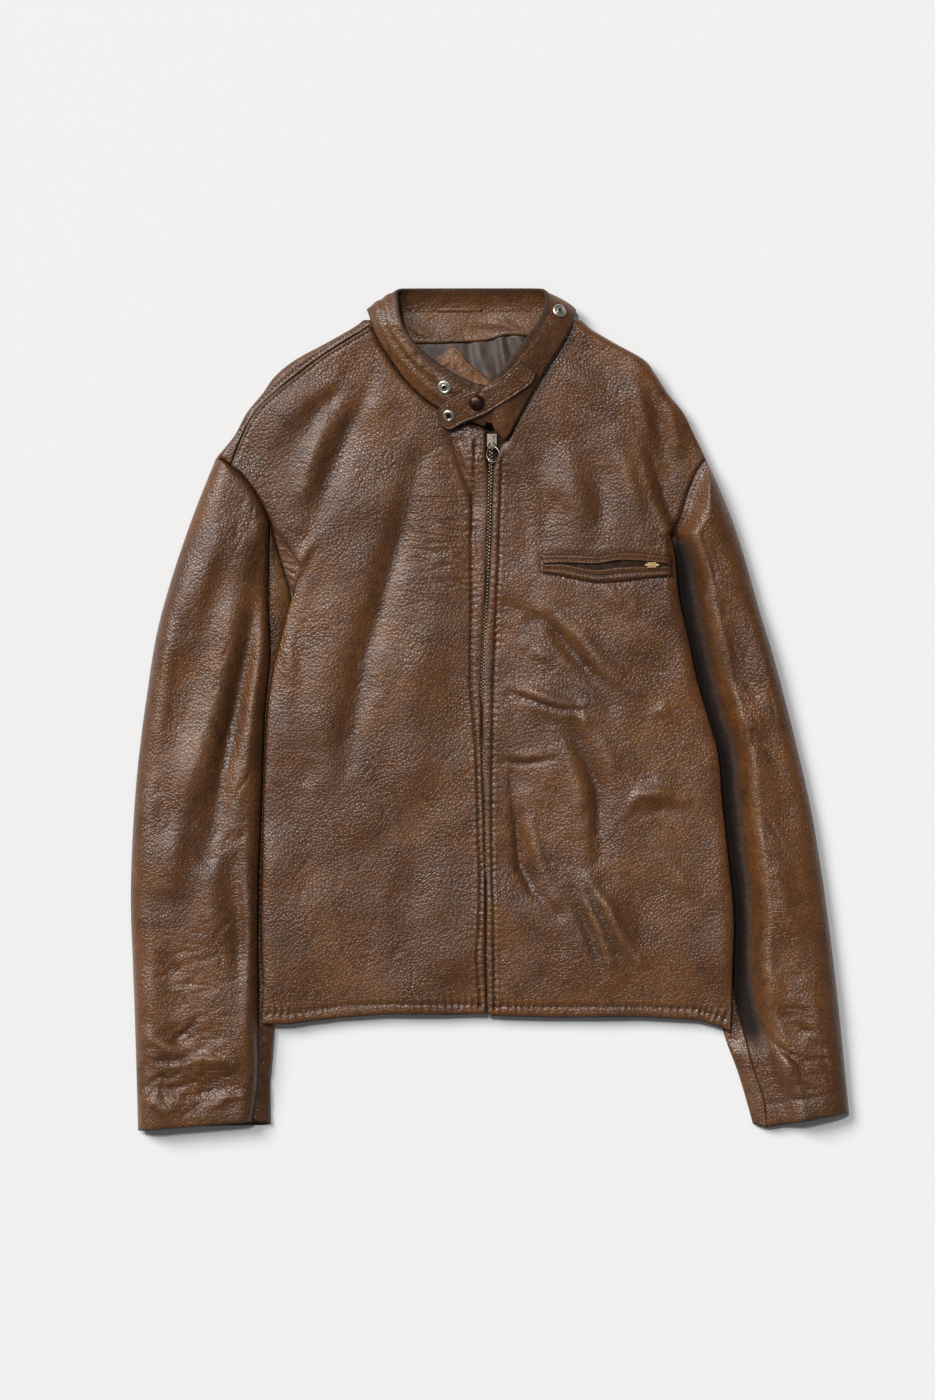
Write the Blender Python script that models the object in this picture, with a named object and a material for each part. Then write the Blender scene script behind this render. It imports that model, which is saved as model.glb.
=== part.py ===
"""Brown leather jacket with a band collar, closed by its front zip and laid flat on its back.

+X is the wearer's left, +Y points to the collar and +Z is up, in metres in the finished model.
The tables below are in millimetres.  The back rests on z = 0 and the fronts lie over it.  Every
cloth piece is a closed wall between an outer and an inner grid of points, row by row from the hem
to the collar, and neighbouring pieces keep a small gap along their seam.
"""
import math

import bmesh
import bpy
import numpy as np
from mathutils import Matrix, Vector
from mathutils.bvhtree import BVHTree

MM = 0.001
WALL = 1.4              # body leather with its turned seams
GAP = 0.4               # between two pieces along a seam, or one above the other
SIDE_SEAM = 13.0        # height of the side seams, which lie on the folded inner edge of a sleeve
SLEEVE_SEAM = 6.0       # height of the seam along the outer edge of each sleeve
SHOULDER_SEAM = 10.0    # height of the left shoulder seam, on the outline

# Outlines as (x, y), from the hem or cuff upwards.
ZIP = [(-2.4, -292), (-3.4, -221), (-3.6, -154), (-5, -86), (-7, -29), (-7, 19), (-3.5, 106),
       (-0.5, 172), (0.8, 225), (1.8, 262)]
SIDE_RIGHT = [(-218, -301), (-217, -261), (-219, -203), (-218, -148), (-216, -68), (-212, 9),
              (-208, 34), (-200, 67), (-189, 109), (-180, 137)]
SIDE_LEFT = [(230, -308), (233, -250), (234, -192), (229, -143), (223, -86), (218, -37), (209, -6),
             (199, 29), (191, 67), (182, 108), (177, 151), (173, 169)]
UNDERARM_RIGHT = [(-180, 137), (-196, 162), (-210, 180)]
ARMHOLE_RIGHT = [(-210, 180), (-216, 194), (-224, 208), (-237, 225), (-248, 234)]
ARMHOLE_LEFT = [(173, 169), (184, 190), (190, 210), (198, 228), (207, 241)]
SHOULDER_RIGHT = [(-248, 234), (-240, 256), (-231, 275), (-219, 292), (-195, 313), (-158, 341),
                  (-113, 369)]
OUTLINE_RIGHT = [(-262, 242), (-246, 261), (-232, 286), (-218, 303), (-206, 320), (-186, 336),
                 (-160, 350), (-127, 369), (-114, 379)]
OUTLINE_LEFT = [(207, 241), (195, 266), (185, 286), (171, 303), (158, 323), (150, 334), (119, 352),
                (96, 366), (83, 379)]
NECK_RIGHT = [(-4.5, 269), (-28, 278), (-55, 292), (-78, 312), (-94, 333), (-105, 351), (-113, 369)]
NECK_LEFT = [(9, 252), (15, 257), (27, 281), (38, 301), (51, 323), (65, 345), (74, 362), (78, 376)]
BACK_ARMHOLE_SEAM = [(-189, 109), (-201, 148), (-210, 180)]

SLEEVE_RIGHT_OUTER = [(-337, -403), (-339, -330), (-342, -242), (-344, -182), (-343, -137),
                      (-336, -43), (-329, 11), (-318, 78), (-299, 144), (-282, 192), (-262, 242)]
SLEEVE_RIGHT_SEAM = [(-227, -394), (-222, -359), (-221, -301), (-221, -203), (-220, -148),
                     (-217, -68), (-214, 9), (-210, 48), (-212, 106), (-210, 180)]
SLEEVE_RIGHT_INNER = [(-210, -389), (-210, -355), (-208, -330), (-206, -301), (-207, -203),
                      (-208, -148), (-206, -68), (-203, 9), (-199, 34), (-192, 67), (-190, 109),
                      (-201, 148), (-209, 180)]
SLEEVE_RIGHT_ARMHOLE = [(-210, 180), (-216, 194), (-224, 208), (-237, 225), (-248, 234), (-262, 242)]
SLEEVE_LEFT_OUTER = [(344, -386), (340, -345), (335, -295), (327, -224), (316, -144), (306, -86),
                     (295, -38), (283, 10), (271, 55), (258, 98), (246, 140), (233, 181), (221, 211),
                     (207, 241)]
SLEEVE_LEFT_SEAM = [(266, -400), (263, -374), (253, -345), (244, -309), (238, -290), (232, -250),
                    (232, -192), (227, -143), (221, -86), (216, -37), (207, -6), (197, 29),
                    (189, 67), (180, 108), (175.5, 151), (173, 169)]
SLEEVE_LEFT_INNER = [(252, -400), (239, -351), (223, -304), (222, -250), (223, -192), (218, -143),
                     (212, -86), (207, -37), (198, -6), (188, 29), (180, 67), (171, 108),
                     (171, 151), (172, 169)]

# The hem of the fronts from right to left; the back's hem lies a little inside it.
HEM = [(-218, -301), (-192, -301), (-146, -295), (-99, -291.5), (-42, -292), (-2, -291),
       (2, -293), (60, -294.5), (144, -294), (199, -297), (222, -304), (230, -308)]
BACK_HEM_INSET = 3.0

# Rows that pieces on both sides of a seam share, so that their edges are the same lines.
ROW_LEVELS = (-370, -335, -275, -237, -200, -162, -125, -87, -50, -12, 25, 53, 80, 109,
              137, 158, 169, 180, 194, 208, 222, 234, 242, 262, 276, 290, 306, 322, 338, 354)

# Largest folds as ((x, y) points, half width, height); a negative height is a trough.
BODY_FOLDS = [
    ([(-206, 261), (-192, 282), (-172, 301), (-151, 307), (-122, 293)], 15, 4.5),
    ([(-136, 318), (-150, 300), (-166, 285)], 9, -3.0),
    ([(-147, 276), (-169, 230), (-180, 180)], 15, 3.5),
    ([(-122, 302), (-136, 261), (-156, 221), (-172, 170)], 12, -4.0),
    ([(-67, 234), (-89, 152), (-96, 100), (-115, 55), (-131, -7), (-143, -35)], 14, -3.0),
    ([(-169, -42), (-178, -79)], 10, -2.5),
    ([(137, 323), (144, 296), (151, 261), (158, 234)], 9, 3.5),
    ([(165, 307), (173, 289), (179, 256), (183, 228)], 9, 3.0),
    ([(148, 318), (156, 290), (166, 258), (172, 225)], 8, -2.5),
    ([(23, 16), (68, 0), (89, -8)], 12, 3.0),
    ([(25, -73), (28, -130), (39, -173), (62, -195)], 13, -3.5),
    ([(85, -29), (108, -74), (110, -165)], 12, -3.0),
    ([(102, -164), (139, -235)], 14, 3.5),
    ([(130, -86), (160, -79), (183, -83)], 12, 3.0),
]
SLEEVE_RIGHT_FOLDS = [
    ([(-240, 122), (-249, 60), (-261, 19), (-276, -22), (-287, -64), (-296, -108), (-305, -170)],
     15, 5.0),
    ([(-219, 140), (-228, 90), (-237, 35), (-245, -14), (-253, -60), (-259, -96), (-270, -130)],
     8, -11.0),
    ([(-216, 70), (-228, 15), (-236, -50), (-245, -110)], 10, 2.0),
    ([(-322, -300), (-290, -320), (-262, -308)], 12, -3.0),
    ([(-330, -352), (-290, -366), (-245, -352)], 12, -3.0),
]
SLEEVE_LEFT_FOLDS = [
    ([(183, 181), (191, 156), (200, 124), (208, 86), (211, 60), (214, 39), (217, 12)], 9, 5.0),
    ([(222, 150), (230, 100), (240, 40), (252, -30)], 16, -3.0),
    ([(250, -262), (275, -295), (312, -318)], 12, -4.0),
    ([(268, -392), (278, -352), (300, -322)], 10, 3.0),
]
# The fold that runs on above the left side seam: the front lies lower beyond it.
STEP_LEFT = [(173, 169), (165, 188), (153, 223), (141, 267), (132, 295), (130, 322)]
STEP_DEPTH = 8.0
STEP_RUN = 7.0

# The collar band from its right end round the neck to its left end:
# seam edge (x, y, z) and top edge (x, y, z) at each station.
COLLAR = [
    ((-4, 271, 22.5), (0, 309, 31)), ((-28, 279, 23), (-14, 311, 32)),
    ((-55, 293, 23.5), (-34, 320, 33)), ((-77, 312.5, 23.5), (-53, 333, 33)),
    ((-93.5, 334, 23), (-69, 346, 33)), ((-104, 351, 22.5), (-80, 361, 32)),
    ((-111.5, 367, 20.5), (-86, 376, 30)), ((-115, 378, 17), (-88, 390, 26)),
    ((-117, 383, 10.5), (-89, 398, 19)), ((-112, 383, 5), (-86, 402, 13)),
    ((-100, 381, 3.2), (-78, 403, 10)), ((-60, 379.5, 2.8), (-50, 403, 9)),
    ((-20, 379, 2.8), (-18, 403, 9)), ((20, 379.5, 2.8), (15, 403, 9)),
    ((60, 381, 3.2), (42, 403, 10)), ((76, 384, 5), (50, 402, 13)),
    ((82, 383.5, 11), (54, 397, 19)), ((81, 377.5, 18), (54, 389, 26)),
    ((76, 364, 22.5), (51, 378, 31)), ((66.5, 347, 24), (46, 369, 33)),
    ((53, 325, 24.5), (36, 355, 34)), ((40, 302.5, 24), (23, 339, 34)),
    ((28.5, 282, 23), (10, 322, 33)), ((16.5, 258.5, 22), (3, 312, 32)),
]
COLLAR_WALL = 2.4
COLLAR_CROWN = 1.4

FACING_LOWER = [(-100, 350), (-82, 351), (-38, 352), (0, 355), (16, 359), (29, 359), (66, 354)]
FACING_TOP = 377.5
LINING_BOTTOM = 290.0
LINING_WALL = 1.0
PATCH_TOP = [(-58, 333), (-47, 341), (-35, 348), (-29, 345), (-20, 333), (5, 313)]
PATCH_BOTTOM = [(-62, 318), (-50, 312), (-38, 307), (-28, 304), (-16, 301), (0, 299)]
LOOP_X = (-50.0, -8.0)
LOOP_Y = (381.6, 385.6)

TAB_UPPER = [(29, 335), (19, 325), (9, 317), (-5, 309.5), (-24, 304), (-35, 299), (-46, 291),
             (-50.5, 285)]
TAB_LOWER = [(45, 321), (41, 312), (31, 304), (16, 294), (-4, 282), (-24, 274), (-38, 267.5),
             (-48.5, 273)]
TAB_WALL = 2.0

POCKET_TOP = [(49, 149.5), (70, 149.5), (105, 148.5), (131, 151.5), (164, 148.5), (175, 146)]
POCKET_SLIT = [(51, 139.5), (71, 140), (101, 137), (127, 140), (164, 139), (174, 137)]
POCKET_OPEN = [0.3, 0.6, 2.6, 2.9, 1.6, 0.3]     # half the opening at each point of the slit
POCKET_BOTTOM = [(50, 131), (70, 127.5), (101, 121.5), (126, 122.5), (159, 126.5), (175, 128)]
WELT_WALL = 1.2
TAPE_WALL = 0.8
TAPE_WIDTH = 12.0

SLIDER_AT = (2.2, 257.8)
POCKET_SLIDER_AT = (155.0, 138.6)

LEATHER = ("leather", (0.118, 0.052, 0.022), 0.45, 0.0)
INNER_LEATHER = ("leather_inner", (0.10, 0.052, 0.026), 0.5, 0.0)
WORN_LEATHER = ("leather_worn", (0.27, 0.125, 0.055), 0.6, 0.0)
LINING = ("lining", (0.072, 0.055, 0.046), 0.4, 0.0)
TAPE = ("zip_tape", (0.03, 0.018, 0.012), 0.85, 0.0)
NICKEL = ("nickel", (0.62, 0.58, 0.50), 0.28, 1.0)
BRASS = ("brass", (0.60, 0.42, 0.17), 0.35, 1.0)
DARK_METAL = ("dark_metal", (0.035, 0.026, 0.025), 0.3, 1.0)


def clear_scene():
    for thing in list(bpy.data.objects):
        bpy.data.objects.remove(thing, do_unlink=True)


def material(finish):
    """The Principled material of a finish, made the first time it is asked for."""
    name, colour, roughness, metallic = finish
    made = bpy.data.materials.get(name)
    if made is None:
        made = bpy.data.materials.new(name)
        made.use_nodes = True
        shader = made.node_tree.nodes["Principled BSDF"]
        shader.inputs["Base Color"].default_value = (*colour, 1.0)
        shader.inputs["Roughness"].default_value = roughness
        shader.inputs["Metallic"].default_value = metallic
    return made


# ---------------------------------------------------------------- curves and heights

def smooth(knots, values, at):
    """Cubic curve through values at the knots, with each knot's slope set by its neighbours."""
    knots = np.asarray(knots, float)
    values = np.asarray(values, float)
    slopes = np.gradient(values, knots, axis=0)
    i = int(np.clip(np.searchsorted(knots, at) - 1, 0, len(knots) - 2))
    step = knots[i + 1] - knots[i]
    u = (at - knots[i]) / step
    return ((1 + 2 * u) * (1 - u) ** 2 * values[i] + u * (1 - u) ** 2 * step * slopes[i]
            + u * u * (3 - 2 * u) * values[i + 1] + u * u * (u - 1) * step * slopes[i + 1])


def edge(*stretches):
    """An outline of smooth stretches that meet at corners, as a function that gives x at y."""
    def x_at(y):
        for points in stretches:
            if y <= points[-1][1] or points is stretches[-1]:
                xs, ys = zip(*points)
                return float(smooth(ys, xs, min(max(y, ys[0]), ys[-1])))
    return x_at


def curve_points(points, count):
    """Evenly spaced points on the smooth curve through hand-placed ones."""
    knots = np.linspace(0.0, 1.0, len(points))
    return [smooth(knots, points, t) for t in np.linspace(0.0, 1.0, count)]


def ease(low, high, value):
    """0 below low, 1 above high and a soft step between."""
    s = min(max((value - low) / (high - low), 0.0), 1.0)
    return s * s * (3 - 2 * s)


def rounded(foot, full, distance, radius):
    """Height beside a fold: a quarter ellipse from the foot at the edge up to full height."""
    s = min(max(distance / radius, 0.0), 1.0)
    return foot + (full - foot) * math.sqrt(1 - (1 - s) ** 2)


def to_path(x, y, points):
    """Distance to a polyline, and how far along it the nearest point is, from 0 to 1."""
    best, along = 1e9, 0.0
    for i, ((ax, ay), (bx, by)) in enumerate(zip(points, points[1:])):
        dx, dy = bx - ax, by - ay
        u = min(max(((x - ax) * dx + (y - ay) * dy) / (dx * dx + dy * dy), 0.0), 1.0)
        away = math.hypot(x - ax - u * dx, y - ay - u * dy)
        if away < best:
            best, along = away, (i + u) / (len(points) - 1)
    return best, along


def folds_at(x, y, folds):
    """Sum of soft ridges and troughs, each fading at its two ends."""
    height = 0.0
    for points, half_width, rise in folds:
        away, along = to_path(x, y, points)
        if away < 3 * half_width:
            fade = math.sin(math.pi * min(max(along, 0.12), 0.88))
            height += rise * fade * math.exp(-(away / half_width) ** 2)
    return height


zip_x = edge(ZIP)
side_right = edge(SIDE_RIGHT)
side_left = edge(SIDE_LEFT)
step_left = edge(STEP_LEFT)


def bump(x, y, centre, spread, rise):
    return rise * math.exp(-((x - centre[0]) / spread[0]) ** 2 - ((y - centre[1]) / spread[1]) ** 2)


def body_height(x, y):
    """Top of the two fronts, before they turn down at a fold."""
    height = 18.6
    height += bump(x, y, (-112, 90), (65, 170), 5.0)
    height += bump(x, y, (112, 40), (65, 190), 5.0)
    height += bump(x, y, (-10, 330), (110, 50), 2.0)
    height -= 4.5 * (1 - ease(-300, -225, y))
    height += folds_at(x, y, BODY_FOLDS)
    if y > STEP_LEFT[0][1] - 30 and x > 100:
        drop = STEP_DEPTH * (1 - ease(190, 325, y))
        line = step_left(y) + 2.0
        height -= drop * ease(line - STEP_RUN, line + STEP_RUN, x)
    return height


# ---------------------------------------------------------------- walls

def rows_between(start, end):
    """Rows as (y at the left edge, y at the right edge), level except for the two ends."""
    low, high = max(start) + 6, min(end) - 3
    return [start] + [(y, y) for y in ROW_LEVELS if low < y < high] + [end]


def hem_y(x):
    return float(np.interp(x, *zip(*HEM)))


def panel_rows(rows, left, right, across, height):
    """Grid of points between two edges, with its height from a function of the plan."""
    grid = []
    for y_left, y_right in rows:
        x_left, x_right = left(y_left), right(y_right)
        row = []
        for t in across:
            x = x_left + (x_right - x_left) * t
            y = hem_y(x) if y_left < -280 else y_left + (y_right - y_left) * t
            row.append((x, y, height(x, y)))
        grid.append(row)
    return grid


def inner_face(grid, wall, side=1, ends=("down", "down")):
    """The grid moved in by the wall, square to each row.

    A row ends either in a seam edge, cut straight "down", or in a fold's edge, cut "level".
    """
    inner = []
    for row in grid:
        points = np.array(row, float)
        run = np.gradient(points[:, (0, 2)], axis=0)
        run /= np.maximum(np.linalg.norm(run, axis=1), 1e-9)[:, None]
        moved = points.copy()
        moved[:, 0] += side * wall * run[:, 1]
        moved[:, 2] -= side * wall * run[:, 0]
        for end, cut in ((0, ends[0]), (-1, ends[1])):
            shift = moved[end] - points[end]
            keep = 2 if cut == "down" else 0
            moved[end] = points[end]
            moved[end, keep] += math.copysign(wall, shift[keep])
        inner.append([tuple(p) for p in moved])
    return inner


def new_object(name, bm, finish, smooth_angle=40):
    """Turn a bmesh in millimetres into a named object in metres, with its faces outwards."""
    bmesh.ops.scale(bm, vec=(MM, MM, MM), verts=bm.verts)
    bmesh.ops.recalc_face_normals(bm, faces=bm.faces)
    mesh = bpy.data.meshes.new(name)
    bm.to_mesh(mesh)
    bm.free()
    mesh.shade_smooth()
    mesh.set_sharp_from_angle(angle=math.radians(smooth_angle))
    mesh.materials.append(material(finish))
    made = bpy.data.objects.new(name, mesh)
    bpy.context.scene.collection.objects.link(made)
    return made


def shell(name, outer, inner, finish):
    """A closed wall between two grids with the same rows and columns."""
    bm = bmesh.new()
    layers = [[[bm.verts.new(p) for p in row] for row in grid] for grid in (outer, inner)]
    last_row, last_column = len(outer) - 1, len(outer[0]) - 1
    for grid in layers:
        for i in range(last_row):
            for j in range(last_column):
                bm.faces.new((grid[i][j], grid[i][j + 1], grid[i + 1][j + 1], grid[i + 1][j]))
    rim = [(0, j) for j in range(last_column)] + [(i, last_column) for i in range(last_row)]
    rim += [(last_row, j) for j in range(last_column, 0, -1)] + [(i, 0) for i in range(last_row, 0, -1)]
    top, under = layers
    for (i, j), (k, m) in zip(rim, rim[1:] + rim[:1]):
        bm.faces.new((top[i][j], top[k][m], under[k][m], under[i][j]))
    return new_object(name, bm, finish)


def surface_of(*objects):
    """Ray-cast tree over the finished meshes of some objects, in metres."""
    points, faces = [], []
    for thing in objects:
        start = len(points)
        points += [thing.matrix_world @ v.co for v in thing.data.vertices]
        faces += [[start + i for i in face.vertices] for face in thing.data.polygons]
    return BVHTree.FromPolygons(points, faces)


def top_of(tree, x, y, reach=2.0):
    """Highest point, in millimetres, of what lies under a small spot round (x, y)."""
    highest = 0.0
    for dx, dy in ((0, 0), (reach, 0), (-reach, 0), (0, reach), (0, -reach)):
        hit = tree.ray_cast(Vector(((x + dx) * MM, (y + dy) * MM, 0.2)), Vector((0, 0, -1)))[0]
        if hit is not None:
            highest = max(highest, hit.z / MM)
    return highest


# ---------------------------------------------------------------- body

def front_right():
    def height(x, y):
        full = body_height(x, y)
        turned = 1 - ease(100, 137, y)
        if turned <= 0:
            return full
        low = rounded(SIDE_SEAM + 2 * GAP, full, x - side_right(y), 13)
        return full + (low - full) * turned

    def zip_edge(y):
        open_top = 3.2 * ease(225, 255, y) + 1.9 * ease(60, 110, y)
        return zip_x(y) - 0.3 - open_top

    right = edge([(zip_edge(y), y) for y in range(-290, 250, 24)] + [(-4.2, 262)], NECK_RIGHT)
    left = edge(SIDE_RIGHT, UNDERARM_RIGHT, ARMHOLE_RIGHT, SHOULDER_RIGHT)
    rows = rows_between((-301, -290), (367.5, 367.5))
    across = (0, 0.01, 0.03, 0.065, 0.14, 0.26, 0.4, 0.55, 0.7, 0.85, 1)
    outer = panel_rows(rows, lambda y: left(y) + 0.2, right, across, height)
    return shell("front_right", outer, inner_face(outer, WALL, ends=("level", "down")), LEATHER)


def front_left():
    def height(x, y):
        full = body_height(x, y)
        if y < 169:
            return rounded(SIDE_SEAM + 2 * GAP, full, side_left(y) - x, 13)
        if y > 235:
            turned = ease(235, 250, y)
            return full + (rounded(SHOULDER_SEAM + GAP, full, outline(y) - x, 15) - full) * turned
        return full

    def zip_edge(y):
        open_top = 6.0 * ease(225, 253, y) + 1.9 * ease(60, 110, y)
        return zip_x(y) + 0.3 + open_top

    outline = edge(OUTLINE_LEFT)
    left = edge([(zip_edge(y), y) for y in range(-293, 240, 24)] + [(9, 252)], NECK_LEFT)
    right = edge(SIDE_LEFT, ARMHOLE_LEFT, OUTLINE_LEFT)
    rows = rows_between((-293, -308), (373, 373))
    across = (0, 0.15, 0.3, 0.45, 0.6, 0.74, 0.86, 0.935, 0.97, 0.99, 1)
    outer = panel_rows(rows, left, lambda y: right(y) - 0.2, across, height)
    return shell("front_left", outer, inner_face(outer, WALL, ends=("down", "level")), LEATHER)


def back_row(y):
    """Section of the back at one height: left end, flat underside, right end."""
    climb = (0, 1.5, 5, 10, 16, 24)
    left = edge(SIDE_RIGHT[:-1], BACK_ARMHOLE_SEAM, SLEEVE_RIGHT_ARMHOLE)
    right = edge(SIDE_LEFT, ARMHOLE_LEFT, OUTLINE_LEFT)
    rise = SIDE_SEAM - WALL
    if y > 240:
        x_left = edge(OUTLINE_RIGHT)(y)
        seam = edge(SHOULDER_RIGHT)(min(y, 369))
        top = body_height(seam, y)
        half = top / 2
        strip = max(seam - GAP - x_left, 4.0)
        section = [(x_left + strip, top)]
        section += [(x_left + min(strip * 0.62, 12.0) * (1 - math.cos(a)), half + half * math.sin(a))
                    for a in (1.1, 0.35, -0.35, -1.0)]
        section.append((x_left + 14, 0.0))
        end_rise = SHOULDER_SEAM - WALL
    else:
        rise *= (1 - 0.35 * ease(80, 112, y)) * (1 - ease(170, 205, y))
        inset = 1.8 if y > 105 else 0.2
        x_left = left(y) + inset
        section = [(x_left + c, rise * (1 - ease(0, 24, c))) for c in climb]
        end_rise = (SIDE_SEAM - WALL) * (1 - ease(165, 195, y))
    x_right = right(y) - (0.4 if y < 200 or y > 240 else 0.9)
    if y > 241:
        end = [(x_right - 14 * (1 - math.cos(a)), end_rise * (1 - math.sin(a)))
               for a in (1.57, 1.2, 0.9, 0.6, 0.3, 0)]
        end[0] = (x_right - 14, 0)
    else:
        end = [(x_right - c, end_rise * (1 - ease(0, 24, c))) for c in reversed(climb)]
    middle = np.linspace(section[-1][0], end[0][0], 4)[1:-1]
    section += [(x, 0.0) for x in middle] + end
    return [(x, y, z) for x, z in section]


def back():
    outer = [back_row(y) for y, _ in rows_between((-296, -296), (373, 373))]
    outer[0] = [(x, hem_y(x) + BACK_HEM_INSET, z) for x, _, z in outer[0]]
    return shell("back", outer, inner_face(outer, WALL, side=-1), LEATHER)


def back_underarm():
    """The stretch of the back that shows between the side seam and the sleeve, gathered."""
    left = edge(BACK_ARMHOLE_SEAM)
    right = edge(SIDE_RIGHT, UNDERARM_RIGHT)
    rows = [(y, y) for y in (112, 124, 137, 158, 169, 176)]

    def height(x, y):
        share = (x - left(y)) / max(right(y) - left(y), 1.0)
        front = body_height(right(y), y) - 1.5
        return 14.0 + (front - 14.0) * share - 1.5 * (1 - ease(112, 140, y))

    outer = panel_rows(rows, lambda y: left(y) + 0.7, lambda y: right(y) - 0.5,
                       (0, 0.33, 0.67, 1), height)
    return shell("back_underarm_right", outer, inner_face(outer, WALL), LEATHER)


# ---------------------------------------------------------------- sleeves

class Sleeve:
    """A flattened tube in two pieces; way is +1 where the outer edge is on the -X side."""

    def __init__(self, name, way, outer, seam, inner, armhole, folds):
        self.name, self.way, self.folds = name, way, folds
        self.outer = edge(outer)
        self.seam = edge(seam, armhole)
        self.inner = edge(inner)
        self.underarm = inner[-1][1]
        self.top = armhole[-1][1]
        self.cuff = (outer[0][1], seam[0][1])

    def rows(self):
        return rows_between(self.cuff, (self.top - 1.5, self.top - 1.5))

    def seam_foot(self, y):
        """Height of the front seam: low beside the body, level with it over the armhole."""
        return 11.0 + (body_height(self.seam(y), y) - 11.0) * ease(self.underarm - 5,
                                                                   self.underarm + 25, y)

    def height(self, x, y):
        from_outer = self.way * (x - self.outer(y))
        from_seam = self.way * (self.seam(y) - x)
        crown = 27.0 - 4.0 * (1 - ease(-400, -300, y))
        crown += folds_at(x, y, self.folds)
        high = rounded(SLEEVE_SEAM + GAP, crown, from_outer, 22)
        foot = self.seam_foot(y)
        if self.way > 0:
            return min(high, rounded(foot, crown, from_seam, 15))
        return min(high, foot + (crown - foot) * ease(3, 30, from_seam))

    def upper(self):
        across = (0, 0.015, 0.06, 0.14, 0.26, 0.4, 0.54, 0.67, 0.79, 0.89, 0.96, 1)
        grid = []
        for y_outer, y_seam in self.rows():
            start, end = self.outer(y_outer), self.seam(y_seam) - 0.2 * self.way
            row = []
            for t in across:
                x, y = start + (end - start) * t, y_outer + (y_seam - y_outer) * t
                row.append((x, y, self.height(x, y)))
            grid.append(row)
        inner = inner_face(grid, WALL, side=self.way, ends=("level", "down"))
        return shell(self.name + "_upper", grid, inner, LEATHER)

    def under_row(self, y_outer, y_seam):
        """Section from the front seam, over the folded edge and along the underside."""
        way, seam = self.way, self.seam(y_seam) + 0.2 * self.way
        far = self.outer(y_outer)
        if y_seam > self.underarm:
            foot = (11.0 - 0.2) * (1 - ease(self.underarm, self.underarm + 25, y_seam)) + WALL
            reach = abs(seam - far) * 0.3
            strip = [(0, foot - WALL), (-0.06 * reach, 0.62 * foot), (-0.16 * reach, 0.3 * foot),
                     (-0.3 * reach, 0.1 * foot), (-0.5 * reach, 0), (-0.8 * reach, 0)]
            section = [(seam + way * dx, z) for dx, z in strip]
        else:
            folded = self.inner(y_seam)
            width = max(way * (folded - seam), 1.0)
            crest = 10.6 + 2.6 * ease(95, 125, y_seam) * (1 if way > 0 else 0)
            section = [(seam, 10.8), (seam + way * width * 0.4, min(crest, 10.6) - 0.6),
                       (folded - way * 0.12 * width, 0.62 * crest), (folded, 4.0),
                       (folded - way * 2.0, 0.9), (folded - way * 7.0, 0.0)]
        bottom = section[-1][0]
        curl = min(14.0, 0.6 * abs(bottom - far))
        foot_of_edge = far + way * curl
        section += [(bottom + (foot_of_edge - bottom) * t, 0.0) for t in (0.33, 0.67, 1.0)]
        section += [(far + way * curl * (1 - math.cos(a)), SLEEVE_SEAM * (1 - math.sin(a)))
                    for a in (1.1, 0.6, 0.0)]
        total = len(section) - 1
        return [(x, y_seam + (y_outer - y_seam) * k / total, z) for k, (x, z) in enumerate(section)]

    def under(self):
        outer = [self.under_row(y_outer, y_seam) for y_outer, y_seam in self.rows()]
        inner = inner_face(outer, WALL, side=self.way, ends=("down", "level"))
        return shell(self.name + "_under", outer, inner, LEATHER)


# ---------------------------------------------------------------- collar, neck and tab

def collar():
    stations = curve_points([seam + top for seam, top in COLLAR], 38)
    bow = (0.0, 0.95, 0.75, 0.0)
    outer, inner = [], []
    for i, station in enumerate(stations):
        seam, top = station[:3], station[3:]
        before, after = stations[max(i - 1, 0)], stations[min(i + 1, len(stations) - 1)]
        along = (after[:3] + after[3:]) - (before[:3] + before[3:])
        up = np.cross(top - seam, along)
        up /= np.linalg.norm(up)
        row = [seam + (top - seam) * t / 3 + up * bow[t] * COLLAR_CROWN for t in range(4)]
        outer.append([tuple(p + up * COLLAR_WALL / 2) for p in row])
        inner.append([tuple(p - up * COLLAR_WALL / 2) for p in row])
    return shell("collar", outer, inner, LEATHER)


def facing_edge(x):
    xs, ys = zip(*FACING_LOWER)
    return float(smooth(xs, ys, x))


def neck_facing():
    grid = []
    for t in np.linspace(0, 1, 5):
        row = []
        for x in np.linspace(-100, 66, 15):
            y = facing_edge(x) + (FACING_TOP - facing_edge(x)) * t
            rise = 1.2 * math.sin(x / 16.0) + 1.6 * (1 - t)
            row.append((x, y, 2 * WALL + GAP + max(rise, 0.0) + 0.8))
        grid.append(row)
    return shell("neck_facing", grid, inner_face(grid, 1.2), INNER_LEATHER)


def lining_height(x, y):
    pleats = 1.3 * math.sin((x + 0.35 * (y - 300)) / 5.5) * ease(-45, -5, x) + 0.8 * math.sin(x / 13)
    return WALL + GAP + LINING_WALL + 2.2 + pleats


def lining():
    grid = []
    for t in np.linspace(0, 1, 5):
        row = []
        for x in np.linspace(-92, 58, 22):
            top = facing_edge(x) - GAP
            y = LINING_BOTTOM + (top - LINING_BOTTOM) * t
            row.append((x, y, lining_height(x, y)))
        grid.append(row)
    return shell("lining", grid, inner_face(grid, LINING_WALL), LINING)


def lining_patch():
    over, below = curve_points(PATCH_TOP, 10), curve_points(PATCH_BOTTOM, 10)
    grid = []
    for t in np.linspace(0, 1, 3):
        row = []
        for low, high in zip(below, over):
            x, y = low + (high - low) * t
            crown = 1.6 * math.sin(math.pi * t) + 1.0
            row.append((x, y, lining_height(x, y) + 2 * GAP + 1.2 + crown))
        grid.append(row)
    return shell("lining_patch", grid, inner_face(grid, 1.2), WORN_LEATHER)


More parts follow.
